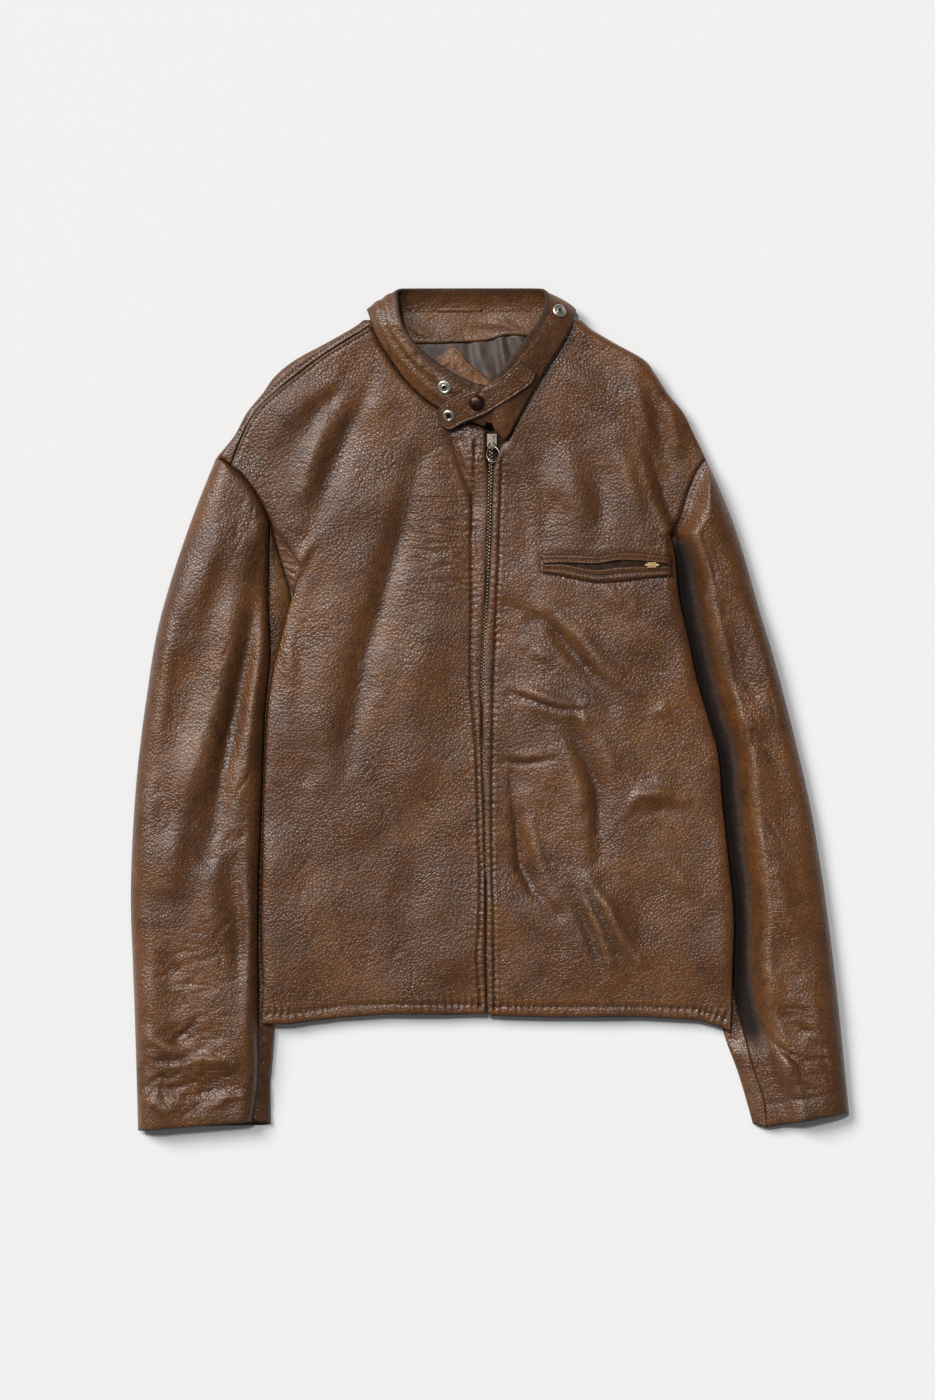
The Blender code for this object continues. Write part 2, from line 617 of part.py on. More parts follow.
def hanger_loop(collar_piece):
    tree = surface_of(collar_piece)
    grid = []
    for y in np.linspace(*LOOP_Y, 3):
        row = []
        for x in np.linspace(*LOOP_X, 11):
            share = (x - LOOP_X[0]) / (LOOP_X[1] - LOOP_X[0])
            row.append((x, y, top_of(tree, x, y, 1.0) + GAP + 1.2 + 1.2 * math.sin(math.pi * share)))
        grid.append(row)
    return shell("hanger_loop", grid, inner_face(grid, 1.0), INNER_LEATHER)


def collar_tab(*beneath):
    tree = surface_of(*beneath)
    over, below = curve_points(TAB_UPPER, 15), curve_points(TAB_LOWER, 15)
    heights = np.array([[top_of(tree, *(low + (high - low) * t), 3.0)
                         for low, high in zip(below, over)] for t in np.linspace(0, 1, 4)])
    for _ in range(3):
        wide = np.pad(heights, 1, mode="edge")
        around = (wide[:-2, 1:-1] + wide[2:, 1:-1] + wide[1:-1, :-2] + wide[1:-1, 2:]) / 4
        heights = np.maximum(heights, around)
    grid = []
    for t, levels in zip(np.linspace(0, 1, 4), heights):
        row = [(*(low + (high - low) * t), z + GAP + TAB_WALL)
               for low, high, z in zip(below, over, levels)]
        grid.append(row)
    under = [[(x, y, z - TAB_WALL) for x, y, z in row] for row in grid]
    return shell("collar_tab", grid, under, LEATHER)


# ---------------------------------------------------------------- zip, pocket and snaps

def zip_tape(name, way):
    """Tape along one front edge, under the leather and up to the middle of the zip."""
    grid = []
    for y in np.linspace(-287, 268, 17):
        middle = zip_x(min(y, 262))
        spread = 2.0 * ease(250, 268, y)
        row = []
        for reach in (0.25 + spread, 2.2 + spread, 6.5, TAPE_WIDTH):
            x = middle + way * reach
            row.append((x, y, body_height(x, y) - WALL - 1.4))
        grid.append(row if way > 0 else row[::-1])
    return shell(name, grid, inner_face(grid, TAPE_WALL), TAPE)


def turned(name, profile, segments, finish):
    """Solid of revolution from (radius, height) points that start and end on the axis."""
    bm = bmesh.new()
    rings = []
    for radius, z in profile:
        if radius == 0:
            rings.append([bm.verts.new((0, 0, z))])
        else:
            angles = [2 * math.pi * k / segments for k in range(segments)]
            rings.append([bm.verts.new((radius * math.cos(a), radius * math.sin(a), z))
                          for a in angles])
    for low, high in zip(rings, rings[1:]):
        for k in range(segments):
            m = (k + 1) % segments
            corners = [low[k % len(low)], low[m % len(low)], high[m % len(high)], high[k % len(high)]]
            bm.faces.new(list(dict.fromkeys(corners)))
    return new_object(name, bm, finish)


def seat(piece, tree, x, y, lift=0.35, reach=5.0):
    """Stand a turned piece on the surface under (x, y), square to it, and bake its place in."""
    spots = []
    for k in range(3):
        angle = 2 * math.pi * k / 3 + math.pi / 2
        px, py = x + reach * math.cos(angle), y + reach * math.sin(angle)
        spots.append(Vector((px, py, top_of(tree, px, py, 0.5))))
    normal = (spots[1] - spots[0]).cross(spots[2] - spots[0]).normalized()
    turn = normal.to_track_quat("Z", "Y").to_matrix().to_4x4()
    middle = sum(spots, Vector()) / 3
    rise = max(top_of(tree, x, y, 1.0) - middle.z, 0.0)
    place = (middle + normal * (lift + rise)) * MM
    piece.data.transform(Matrix.Translation(place) @ turn)
    return piece


STUD = [(0, 0), (6.6, 0), (6.7, 0.7), (5.6, 1.5), (4.4, 1.7), (3.6, 1.0), (2.6, 1.0), (2.2, 2.6),
        (1.4, 2.7), (0.9, 1.6), (0, 1.6)]
SOCKET = [(0, 0), (6.0, 0), (6.1, 0.8), (5.0, 1.9), (3.6, 2.2), (2.6, 1.9), (2.2, 0.8), (0, 0.8)]
CAP = [(0, 0), (7.2, 0), (7.4, 0.8), (6.6, 2.1), (4.9, 3.1), (2.6, 3.7), (0, 3.9)]


def snaps(collar_piece, tab):
    band, strap = surface_of(collar_piece), surface_of(tab)
    seat(turned("snap_stud_right", STUD, 20, NICKEL), band, -43, 308)
    seat(turned("snap_stud_left", STUD, 20, NICKEL), band, 66.5, 381, reach=4.5)
    seat(turned("snap_socket_tab", SOCKET, 20, NICKEL), strap, -39, 281)
    seat(turned("snap_cap_tab", CAP, 20, DARK_METAL), strap, -12, 293)


def block(bm, low, high):
    made = bmesh.ops.create_cube(bm, size=1.0)
    for v in made["verts"]:
        v.co = Vector([low[k] if v.co[k] < 0 else high[k] for k in range(3)])


def united(name, blocks, finish, at, bevel=0.25):
    """Blocks joined into one solid, with their edges eased, placed at a point."""
    main = None
    for number, (low, high) in enumerate(blocks):
        bm = bmesh.new()
        block(bm, low, high)
        bmesh.ops.translate(bm, vec=at, verts=bm.verts)
        piece = new_object(name if number == 0 else f"{name}_join{number}", bm, finish)
        if main is None:
            main = piece
            continue
        piece.hide_render = True
        piece.display_type = "WIRE"
        join = main.modifiers.new("join", "BOOLEAN")
        join.operation = "UNION"
        join.object = piece
    ease_edges = main.modifiers.new("ease", "BEVEL")
    ease_edges.width = bevel * MM
    ease_edges.segments = 1
    ease_edges.limit_method = "ANGLE"
    return main


def wire_loop(name, path, radius, finish, sides=8):
    """Closed round wire along a flat closed path of points."""
    bm = bmesh.new()
    points = [Vector(p) for p in path]
    middle = sum(points, Vector()) / len(points)
    normal = (points[0] - middle).cross(points[len(points) // 4] - middle).normalized()
    rings = []
    for i, point in enumerate(points):
        along = (points[(i + 1) % len(points)] - points[i - 1]).normalized()
        out = along.cross(normal)
        rings.append([bm.verts.new(point + radius * (out * math.cos(a) + normal * math.sin(a)))
                      for a in (2 * math.pi * k / sides for k in range(sides))])
    for ring, after in zip(rings, rings[1:] + rings[:1]):
        for k in range(sides):
            m = (k + 1) % sides
            bm.faces.new((ring[k], ring[m], after[m], after[k]))
    return new_object(name, bm, finish)


def main_zip():
    zip_tape("zip_tape_right", -1)
    zip_tape("zip_tape_left", 1)
    x, y = SLIDER_AT
    plate = body_height(x, y) - WALL - 1.4 + 0.5
    blocks = [((-4.6, -6.2, 0), (4.6, 6.2, 2.6)),
              ((-1.2, -5.2, 2.2), (1.2, -3.6, 5.6)),
              ((-1.2, 3.4, 2.2), (1.2, 5.2, 5.6)),
              ((-1.2, -5.2, 4.7), (1.2, 5.2, 5.7))]
    united("zip_slider", blocks, NICKEL, (x, y, plate))
    return plate


def pull(plate):
    """Eye through the slider's bridge and the wire ring through the eye, as they lie."""
    x, y = SLIDER_AT
    pivot = Vector((x, y - 2.6, plate + 3.65))
    lift = Matrix.Rotation(math.radians(-45), 4, "X")
    eye = []
    half, reach, corner = 3.1, 7.2, 1.6
    corners = ((half - corner, -reach + corner, -90), (half - corner, -corner, 0),
               (-half + corner, -corner, 90), (-half + corner, -reach + corner, 180))
    for cx, cy, start in corners:
        for step in range(4):
            a = math.radians(start + 30 * step)
            eye.append(pivot + lift @ Vector((cx + corner * math.cos(a), cy + corner * math.sin(a), 0)))
    wire_loop("zip_pull_eye", eye, 0.6, NICKEL)
    link = pivot + lift @ Vector((0.75, -reach + 1.3, 1.0))
    turn = Matrix.Rotation(math.radians(-36), 4, "Y") @ Matrix.Rotation(math.radians(5), 4, "X")
    radius = 7.4
    ring = []
    for k in range(28):
        a = math.radians(360 * k / 28)
        ring.append(link + turn @ Vector((radius * math.cos(a), radius * math.sin(a) - radius, 0)))
    wire_loop("zip_pull_ring", ring, 0.6, NICKEL)


def pocket(front):
    tree = surface_of(front)
    slit = curve_points([(x, y, o) for (x, y), o in zip(POCKET_SLIT, POCKET_OPEN)], 13)
    over, below = curve_points(POCKET_TOP, 13), curve_points(POCKET_BOTTOM, 13)
    lift = 2 * GAP + TAPE_WALL

    def lip(name, edges):
        grid = []
        for t in np.linspace(0, 1, 3):
            row = []
            for low, high in edges:
                x, y = low + (high - low) * t
                puff = 0.8 * math.sin(math.pi * t)
                row.append((x, y, top_of(tree, x, y, 1.5) + lift + WELT_WALL + puff))
            grid.append(row)
        under = [[(x, y, z - WELT_WALL) for x, y, z in row] for row in grid]
        return shell(name, grid, under, LEATHER)

    lip("pocket_welt_upper", [(np.array((x, y + half)), top) for (x, y, half), top in zip(slit, over)])
    lip("pocket_welt_lower", [(low, np.array((x, y - half))) for (x, y, half), low in zip(slit, below)])
    tape = []
    for t in (-4.5, 0, 4.5):
        tape.append([(x, y + t, top_of(tree, x, y + t, 2.0) + GAP + TAPE_WALL)
                     for x, y, _ in slit[1:-1]])
    under = [[(x, y, z - TAPE_WALL) for x, y, z in row] for row in tape]
    shell("pocket_zip_tape", tape, under, TAPE)


def pocket_slider():
    """Brass slider in the mouth of the pocket, standing just proud of the two lips."""
    x, y = POCKET_SLIDER_AT
    lips = surface_of(*(bpy.data.objects[n] for n in ("pocket_welt_upper", "pocket_welt_lower")))
    z = top_of(lips, x, y, 4.0) + 0.5
    blocks = [((-4.2, -2.6, 0), (4.2, 2.6, 1.6)), ((-6.8, -1.1, 0.5), (6.8, 1.1, 2.6))]
    united("pocket_slider", blocks, BRASS, (x, y, z))


def build():
    clear_scene()
    right, left = front_right(), front_left()
    back()
    back_underarm()
    for sleeve in (
            Sleeve("sleeve_right", 1, SLEEVE_RIGHT_OUTER, SLEEVE_RIGHT_SEAM, SLEEVE_RIGHT_INNER,
                   SLEEVE_RIGHT_ARMHOLE, SLEEVE_RIGHT_FOLDS),
            Sleeve("sleeve_left", -1, SLEEVE_LEFT_OUTER, SLEEVE_LEFT_SEAM, SLEEVE_LEFT_INNER,
                   ARMHOLE_LEFT, SLEEVE_LEFT_FOLDS)):
        sleeve.upper()
        sleeve.under()
    band = collar()
    neck_facing()
    lining()
    lining_patch()
    hanger_loop(band)
    tab = collar_tab(band, right, left)
    snaps(band, tab)
    pull(main_zip())
    pocket(left)
    pocket_slider()


build()
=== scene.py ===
# %% [markdown]
# # A brown leather jacket, laid flat on its back
#
# A jacket with a band collar and a straight front zip, closed and laid on a pale surface.  A plain
# CAD model already gives every panel its place and size.  It is loaded here as a fixed frame, and
# each panel is made again as fine, creased leather on the same outlines, with its seams, stitches
# and fittings.  Lengths are in millimetres up to the moment that a mesh is made.
# %% Load the frame
import math
import random

import bpy
import numpy as np
from mathutils import Matrix, Vector
from mathutils.bvhtree import BVHTree


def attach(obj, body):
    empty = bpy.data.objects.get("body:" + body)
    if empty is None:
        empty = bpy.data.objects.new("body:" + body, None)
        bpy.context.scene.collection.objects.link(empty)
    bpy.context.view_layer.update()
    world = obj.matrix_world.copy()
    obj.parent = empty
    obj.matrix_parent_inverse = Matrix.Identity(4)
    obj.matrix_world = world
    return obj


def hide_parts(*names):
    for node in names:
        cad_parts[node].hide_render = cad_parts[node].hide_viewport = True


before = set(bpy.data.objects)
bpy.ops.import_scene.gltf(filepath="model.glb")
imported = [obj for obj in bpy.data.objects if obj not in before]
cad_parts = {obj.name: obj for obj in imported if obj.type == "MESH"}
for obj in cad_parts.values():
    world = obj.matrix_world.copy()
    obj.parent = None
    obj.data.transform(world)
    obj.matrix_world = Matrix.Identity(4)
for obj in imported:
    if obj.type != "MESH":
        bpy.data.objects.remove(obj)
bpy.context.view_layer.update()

MM = 0.001
BODY = "jacket"
HIDE_WALL, CLOTH_WALL = 1.3, 0.7

# %% [markdown]
# The cutting lines of a garment are smooth curves that meet at corners: the zip edge, the side, the
# armhole, the shoulder.  Each is written as a few listed points from hem to collar, and a cubic
# curve through them gives x at any height y.  The same lines shape the plain CAD panels, so the fine
# panels land where the plain ones are.
# %% Outlines of the pieces
ZIP = [(-2.4, -292), (-3.4, -221), (-3.6, -154), (-5, -86), (-7, -29), (-7, 19), (-3.5, 106),
       (-0.5, 172), (0.8, 225), (1.8, 262)]
SIDE_RIGHT = [(-218, -301), (-217, -261), (-219, -203), (-218, -148), (-216, -68), (-212, 9),
              (-208, 34), (-200, 67), (-189, 109), (-180, 137)]
SIDE_LEFT = [(230, -308), (233, -250), (234, -192), (229, -143), (223, -86), (218, -37), (209, -6),
             (199, 29), (191, 67), (182, 108), (177, 151), (173, 169)]
UNDERARM_RIGHT = [(-180, 137), (-196, 162), (-210, 180)]
ARMHOLE_RIGHT = [(-210, 180), (-216, 194), (-224, 208), (-237, 225), (-248, 234)]
ARMHOLE_LEFT = [(173, 169), (184, 190), (190, 210), (198, 228), (207, 241)]
SHOULDER_RIGHT = [(-248, 234), (-240, 256), (-231, 275), (-219, 292), (-195, 313), (-158, 341),
                  (-113, 369)]
OUTLINE_RIGHT = [(-262, 242), (-246, 261), (-232, 286), (-218, 303), (-206, 320), (-186, 336),
                 (-160, 350), (-127, 369), (-114, 379)]
OUTLINE_LEFT = [(207, 241), (195, 266), (185, 286), (171, 303), (158, 323), (150, 334), (119, 352),
                (96, 366), (83, 379)]
NECK_RIGHT = [(-4.5, 269), (-28, 278), (-55, 292), (-78, 312), (-94, 333), (-105, 351), (-113, 369)]
NECK_LEFT = [(9, 252), (15, 257), (27, 281), (38, 301), (51, 323), (65, 345), (74, 362), (78, 376)]
BACK_ARMHOLE_SEAM = [(-189, 109), (-201, 148), (-210, 180)]
SLEEVE_RIGHT = {
    "way": 1,
    "outer": [(-337, -403), (-339, -330), (-342, -242), (-344, -182), (-343, -137), (-336, -43),
              (-329, 11), (-318, 78), (-299, 144), (-282, 192), (-262, 242)],
    "seam": [(-227, -394), (-222, -359), (-221, -301), (-221, -203), (-220, -148), (-217, -68),
             (-214, 9), (-210, 48), (-212, 106), (-210, 180)],
    "inner": [(-210, -389), (-210, -355), (-208, -330), (-206, -301), (-207, -203), (-208, -148),
              (-206, -68), (-203, 9), (-199, 34), (-192, 67), (-190, 109), (-201, 148),
              (-209, 180)],
    "armhole": ARMHOLE_RIGHT + [(-262, 242)],
}
SLEEVE_LEFT = {
    "way": -1,
    "outer": [(344, -386), (340, -345), (335, -295), (327, -224), (316, -144), (306, -86),
              (295, -38), (283, 10), (271, 55), (258, 98), (246, 140), (233, 181), (221, 211),
              (207, 241)],
    "seam": [(266, -400), (263, -374), (253, -345), (244, -309), (238, -290), (232, -250),
             (232, -192), (227, -143), (221, -86), (216, -37), (207, -6), (197, 29), (189, 67),
             (180, 108), (175.5, 151), (173, 169)],
    "inner": [(252, -400), (239, -351), (223, -304), (222, -250), (223, -192), (218, -143),
              (212, -86), (207, -37), (198, -6), (188, 29), (180, 67), (171, 108), (171, 151),
              (172, 169)],
    "armhole": ARMHOLE_LEFT,
}
HEM = [(-218, -301), (-192, -301), (-146, -295), (-99, -291.5), (-42, -292), (-2, -291),
       (2, -293), (60, -294.5), (144, -294), (199, -297), (222, -304), (230, -308)]


def hermite(knots, values, at):
    """Cubic curve through values at the knots, with slopes set by the neighbours."""
    knots, values = np.asarray(knots, float), np.asarray(values, float)
    slopes = np.gradient(values, knots, axis=0)
    i = np.clip(np.searchsorted(knots, at) - 1, 0, len(knots) - 2)
    step = knots[i + 1] - knots[i]
    u = (at - knots[i]) / step
    if values.ndim > 1:
        u, step = u[..., None], step[..., None]
    return ((1 + 2 * u) * (1 - u) ** 2 * values[i] + u * (1 - u) ** 2 * step * slopes[i]
            + u * u * (3 - 2 * u) * values[i + 1] + u * u * (u - 1) * step * slopes[i + 1])


def edge(*stretches):
    """An outline of smooth stretches that meet at corners, as a function that gives x at y."""
    def x_at(y):
        y = np.asarray(y, float)
        found, open_still = np.zeros(y.shape), np.ones(y.shape, bool)
        for points in stretches:
            xs, ys = (np.array(v, float) for v in zip(*points))
            last = points is stretches[-1]
            here = open_still & ((y <= ys[-1]) | last)
            found = np.where(here, hermite(ys, xs, np.clip(y, ys[0], ys[-1])), found)
            open_still &= ~here
        return found
    return x_at


def along_curve(points, count):
    """Evenly counted points on the smooth curve through given ones."""
    return hermite(np.linspace(0, 1, len(points)), points, np.linspace(0, 1, count))


def rows_between(left, right, shares):
    """A row of values from left to right for each pair, at the given shares of the way."""
    return left[:, None] + (right - left)[:, None] * shares


def grid_between(low, high, shares):
    """x and y of a grid from one curve to the other; the shares are a column."""
    return (low[:, k] + (high[:, k] - low[:, k]) * shares for k in (0, 1))


def run_along(points):
    """Distance from the start of a polyline to each of its points."""
    return np.concatenate([[0], np.cumsum(np.linalg.norm(np.diff(points, axis=0), axis=1))])


zip_x, side_right, side_left = edge(ZIP), edge(SIDE_RIGHT), edge(SIDE_LEFT)
print("zip is", round(ZIP[-1][1] - ZIP[0][1]), "mm long")

# %% [markdown]
# Leather doesn't drape like cloth.  It keeps broad, soft folds where the body bent it, short creases
# across them, and gathers beside every row of stitches.  A fold can be made by simulation, but then
# nobody decides where it falls, so each one is drawn as a line with a width and a height and
# added to the panel's height: positive for a ridge, negative for a trough.  Fine creases are strewn
# by a seeded random choice over a stated patch, in a stated direction.
# %% Folds, creases and unevenness
def ease(low, high, value):
    """0 below low, 1 above high and a soft step between."""
    s = np.clip((value - low) / (high - low), 0, 1)
    return s * s * (3 - 2 * s)


def rounded(foot, full, distance, radius):
    """Height beside a fold: a quarter ellipse from the foot at the edge up to full height."""
    s = np.clip(distance / radius, 0, 1)
    return foot + (full - foot) * np.sqrt(1 - (1 - s) ** 2)


def bell(distance, width):
    return np.exp(-(distance / width) ** 2)


def to_path(x, y, points):
    """Distance to a polyline, how far along it that is in mm, its length, and the side."""
    best, run = np.full(x.shape, 1e9), np.zeros(x.shape)
    side, start = np.zeros(x.shape), 0.0
    for (ax, ay), (bx, by) in zip(points[:-1], points[1:]):
        dx, dy = bx - ax, by - ay
        length = math.hypot(dx, dy)
        u = np.clip(((x - ax) * dx + (y - ay) * dy) / (length * length), 0, 1)
        ox, oy = x - ax - u * dx, y - ay - u * dy
        away = np.hypot(ox, oy)
        near = away < best
        best = np.where(near, away, best)
        run = np.where(near, start + u * length, run)
        side = np.where(near, np.sign(dx * oy - dy * ox), side)
        start += length
    return best, run, start, side


def folds_at(x, y, folds):
    """Sum of the broad folds: (points, half width, height, and lean where one side is steeper)."""
    height = np.zeros(x.shape)
    for points, half_width, rise, *lean in folds:
        xs, ys = zip(*points)
        reach = 3 * half_width
        near = ((x > min(xs) - reach) & (x < max(xs) + reach)
                & (y > min(ys) - reach) & (y < max(ys) + reach))
        if not near.any():
            continue
        away, run, length, side = to_path(x[near], y[near], points)
        fade = np.sin(np.pi * np.clip(run / length, 0.12, 0.88))
        width = half_width * (1 + (lean[0] if lean else 0.0) * side)
        height[near] += rise * fade * bell(away, width)
    return height


def creases_at(x, y, creases):
    """Sum of the fine creases, which fade to nothing at both ends."""
    height = np.zeros(x.shape)
    for points, width, rise in creases:
        xs, ys = zip(*points)
        reach = 2.5 * width
        near = np.nonzero((x > min(xs) - reach) & (x < max(xs) + reach)
                          & (y > min(ys) - reach) & (y < max(ys) + reach))
        if not len(near[0]):
            continue
        away, run, length, _ = to_path(x[near], y[near], points)
        height[near] += rise * np.sqrt(np.clip(np.sin(np.pi * run / length), 0, 1)) * bell(away, width)
    return height


def strewn(seed, centre, spread, angle, count, length, width, rise, stray=14):
    """Short creases over an ellipse, all running about one way."""
    rng = random.Random(seed)
    made = []
    for _ in range(count):
        r, a = math.sqrt(rng.random()), rng.uniform(0, 2 * math.pi)
        x, y = centre[0] + spread[0] * r * math.cos(a), centre[1] + spread[1] * r * math.sin(a)
        turn = math.radians(rng.gauss(angle, stray))
        half = 0.5 * length * rng.uniform(0.5, 1.3)
        bend = half * rng.uniform(-0.25, 0.25)
        dx, dy = math.cos(turn), math.sin(turn)
        made.append(([(x - half * dx, y - half * dy), (x - bend * dy, y + bend * dx),
                      (x + half * dx, y + half * dy)],
                     width * rng.uniform(0.7, 1.4), rise * rng.uniform(0.4, 1.2)))
    return made


def ripple(x, y, cell, seed, stretch=1.0):
    """Smooth random unevenness between -1 and 1, with bumps about one cell across."""
    rng = np.random.default_rng(seed)
    lattice = rng.uniform(-1, 1, (97, 97))
    u, v = np.mod(x / cell + 31.7, 96), np.mod(y / (cell * stretch) + 17.3, 96)
    i, j = u.astype(int), v.astype(int)
    fu, fv = u - i, v - j
    fu, fv = fu * fu * (3 - 2 * fu), fv * fv * (3 - 2 * fv)
    return ((lattice[i, j] * (1 - fu) + lattice[i + 1, j] * fu) * (1 - fv)
            + (lattice[i, j + 1] * (1 - fu) + lattice[i + 1, j + 1] * fu) * fv)


def gathers(x, y, path, reach, depth, pitch, seed):
    """Puckers square to a row of stitches, deepest at the thread."""
    away, run, _, side = to_path(x, y, path)
    wave = np.sin(2 * np.pi * run / pitch + 2.2 * ripple(run, side * 40.0, pitch * 2.7, seed))
    uneven = 0.65 + 0.35 * ripple(run, side * 90.0, pitch * 4.0, seed + 1)
    return depth * uneven * wave * bell(away, reach)


def groove(x, y, path, width, depth):
    return -depth * bell(to_path(x, y, path)[0], width)


# %% [markdown]
# The folds of the two fronts.  The first table is the broad shape that the CAD panels share.  The
# second holds what only leather shows: the troughs beside the top of the zip, the long folds down
# from the right shoulder, and the bent folds over the belly.
# %% Tables of folds
BODY_FOLDS = [
    ([(-206, 261), (-192, 282), (-172, 301), (-151, 307), (-122, 293)], 15, 4.5),
    ([(-136, 318), (-150, 300), (-166, 285)], 9, -3.0),
    ([(-147, 276), (-169, 230), (-180, 180)], 15, 3.5),
    ([(-122, 302), (-136, 261), (-156, 221), (-172, 170)], 12, -4.0),
    ([(-67, 234), (-89, 152), (-96, 100), (-115, 55), (-131, -7), (-143, -35)], 14, -3.0),
    ([(-169, -42), (-178, -79)], 10, -2.5),
    ([(137, 323), (144, 296), (151, 261), (158, 234)], 9, 3.5),
    ([(165, 307), (173, 289), (179, 256), (183, 228)], 9, 3.0),
    ([(148, 318), (156, 290), (166, 258), (172, 225)], 8, -2.5),
    ([(23, 16), (68, 0), (89, -8)], 12, 3.0),
    ([(25, -73), (28, -130), (39, -173), (62, -195)], 13, -3.5),
    ([(85, -29), (108, -74), (110, -165)], 12, -3.0),
    ([(102, -164), (139, -235)], 14, 3.5),
    ([(130, -86), (160, -79), (183, -83)], 12, 3.0),
]
FINE_FOLDS = [
    # beside the top of the zip
    ([(-38, 264), (-30, 240), (-20, 214), (-15, 196), (-14, 170)], 5, -4.0, 0.3),
    ([(-30, 262), (-24, 240), (-16, 222)], 3.5, 2.9),
    ([(-20, 262), (-17, 244), (-13, 230)], 3.5, 3.2),
    # right front: from the shoulder down to the waist
    ([(-146, 292), (-153, 284), (-166, 252), (-178, 208)], 7, 3.2),
    ([(-112, 321), (-119, 297), (-139, 265), (-150, 240)], 8, -3.0),
    ([(-65, 243), (-78, 199), (-87, 160), (-102, 113), (-119, 52), (-127, 3), (-134, -50)],
     11, -5.0, -0.2),
    ([(-44, 200), (-42, 160), (-44, 120), (-62, 64), (-72, 0), (-74, -80)], 20, 3.0),
    ([(-140, 130), (-150, 90), (-160, 30), (-158, -50), (-150, -130)], 20, 2.8),
    ([(-196, 100), (-190, 40), (-194, -20)], 7, 2.4),
    ([(-170, 150), (-188, 120), (-200, 70)], 6, -3.0, 0.2),
    ([(-165, 168), (-180, 142), (-191, 112)], 5, 2.6),
    ([(-60, -120), (-80, -180), (-76, -240)], 16, -2.4),
    # left front: chest
    ([(28, 215), (36, 185), (34, 150)], 9, -2.0),
    ([(40, 240), (60, 215), (90, 200)], 12, 2.0),
    ([(60, 330), (92, 312), (120, 290)], 10, 2.0),
    ([(104, 124), (118, 108), (134, 98)], 8, 2.4),
    ([(66, 270), (76, 232), (84, 190), (78, 160)], 12, 3.4),
    ([(92, 262), (104, 224), (108, 190), (102, 160)], 10, -3.4),
    ([(120, 262), (132, 226), (142, 194), (150, 165)], 9, 3.0),
    ([(36, 262), (48, 226), (54, 190), (50, 160)], 9, -2.6),
    # left front: the bent folds over the belly
    ([(44, 94), (64, 86), (87, 70), (106, 44), (124, 28), (142, 18)], 9, 4.2, 0.2),
    ([(16, 99), (36, 92), (56, 84), (69, 67), (87, 45), (103, 25), (114, 4)], 7, -4.4),
    ([(36, 62), (50, 53), (66, 47)], 7, 2.4),
    ([(18, 18), (48, 6), (66, 1), (92, -1)], 2.8, -2.8),
    ([(20, 25), (50, 14), (68, 8), (90, 6)], 5, 2.6),
    ([(88, 4), (90, -8), (94, -22)], 4, 2.2),
    ([(78, -12), (92, -45), (103, -74), (105, -108), (103, -144)], 7, -4.6, -0.2),
    ([(62, -18), (76, -48), (86, -78), (88, -112)], 8, 2.6),
    ([(98, -14), (112, -40), (120, -70)], 8, 2.2),
    ([(12, -49), (35, -51), (62, -47)], 2.8, -2.2),
    ([(14, -42), (36, -44), (60, -40)], 4.5, 1.8),
    ([(20, -62), (25, -108), (28, -146), (40, -172), (66, -197)], 5, -4.0, 0.2),
    ([(34, -84), (40, -118), (47, -146), (64, -178)], 7, 3.2),
    ([(92, -160), (114, -190), (127, -219), (144, -241)], 4.6, 4.2),
    ([(86, -168), (104, -206), (118, -242)], 4.2, 3.0),
    ([(78, -172), (95, -214), (107, -254)], 5, -3.6),
    ([(94, -176), (110, -208), (122, -240)], 3.4, -2.0),
    ([(128, -100), (142, -81), (163, -79), (188, -87)], 5, 2.8),
    ([(146, -98), (166, -93), (188, -100)], 7, -2.0),
    ([(158, -126), (184, -164), (210, -180)], 9, 2.8),
    ([(156, -6), (166, 2), (174, -8)], 5, 2.0),
]
BODY_CREASES = (
    strewn(3, (-38, 190), (18, 78), 2, 46, 30, 1.1, -0.55, stray=7)
    + strewn(5, (-60, 130), (30, 60), -4, 26, 22, 1.3, -0.35)
    + strewn(7, (45, 85), (40, 18), -8, 16, 24, 1.8, -0.7)
    + strewn(8, (60, 10), (45, 26), -16, 22, 26, 2.0, -0.6)
    + strewn(9, (40, -120), (22, 70), 86, 16, 26, 2.0, -0.6)
    + strewn(10, (110, -120), (30, 80), 80, 20, 28, 2.2, -0.5)
    + strewn(11, (-125, 0), (24, 80), 62, 18, 26, 2.0, -0.5)
    + strewn(12, (-120, 230), (40, 60), 66, 18, 26, 2.0, -0.5)
    + strewn(13, (160, 260), (26, 60), 100, 16, 24, 1.8, -0.5)
    + strewn(14, (150, 120), (24, 60), 95, 12, 22, 1.8, -0.4)
    + strewn(15, (-150, -180), (60, 90), 80, 20, 30, 2.2, -0.4)
    + strewn(16, (60, -240), (90, 40), 92, 24, 16, 1.8, -0.5)
    + strewn(17, (-110, -250), (90, 30), 90, 24, 16, 1.8, -0.5)
)
STEP_LEFT = [(173, 169), (165, 188), (153, 223), (141, 267), (132, 295), (130, 322)]
step_left = edge(STEP_LEFT)


def body_base(x, y):
    """Top of the two fronts as the CAD panels have it, before they turn down at a fold."""
    height = 18.6 + 5.0 * bell(x + 112, 65) * bell(y - 90, 170)
    height = height + 5.0 * bell(x - 112, 65) * bell(y - 40, 190)
    height = height + 2.0 * bell(x + 10, 110) * bell(y - 330, 50) - 4.5 * (1 - ease(-300, -225, y))
    height = height + folds_at(x, y, BODY_FOLDS)
    drop = 8.0 * (1 - ease(190, 325, y)) * ease(130, 150, y) * ease(90, 110, x)
    line = step_left(y) + 2.0
    return height - drop * ease(line - 7.0, line + 7.0, x)


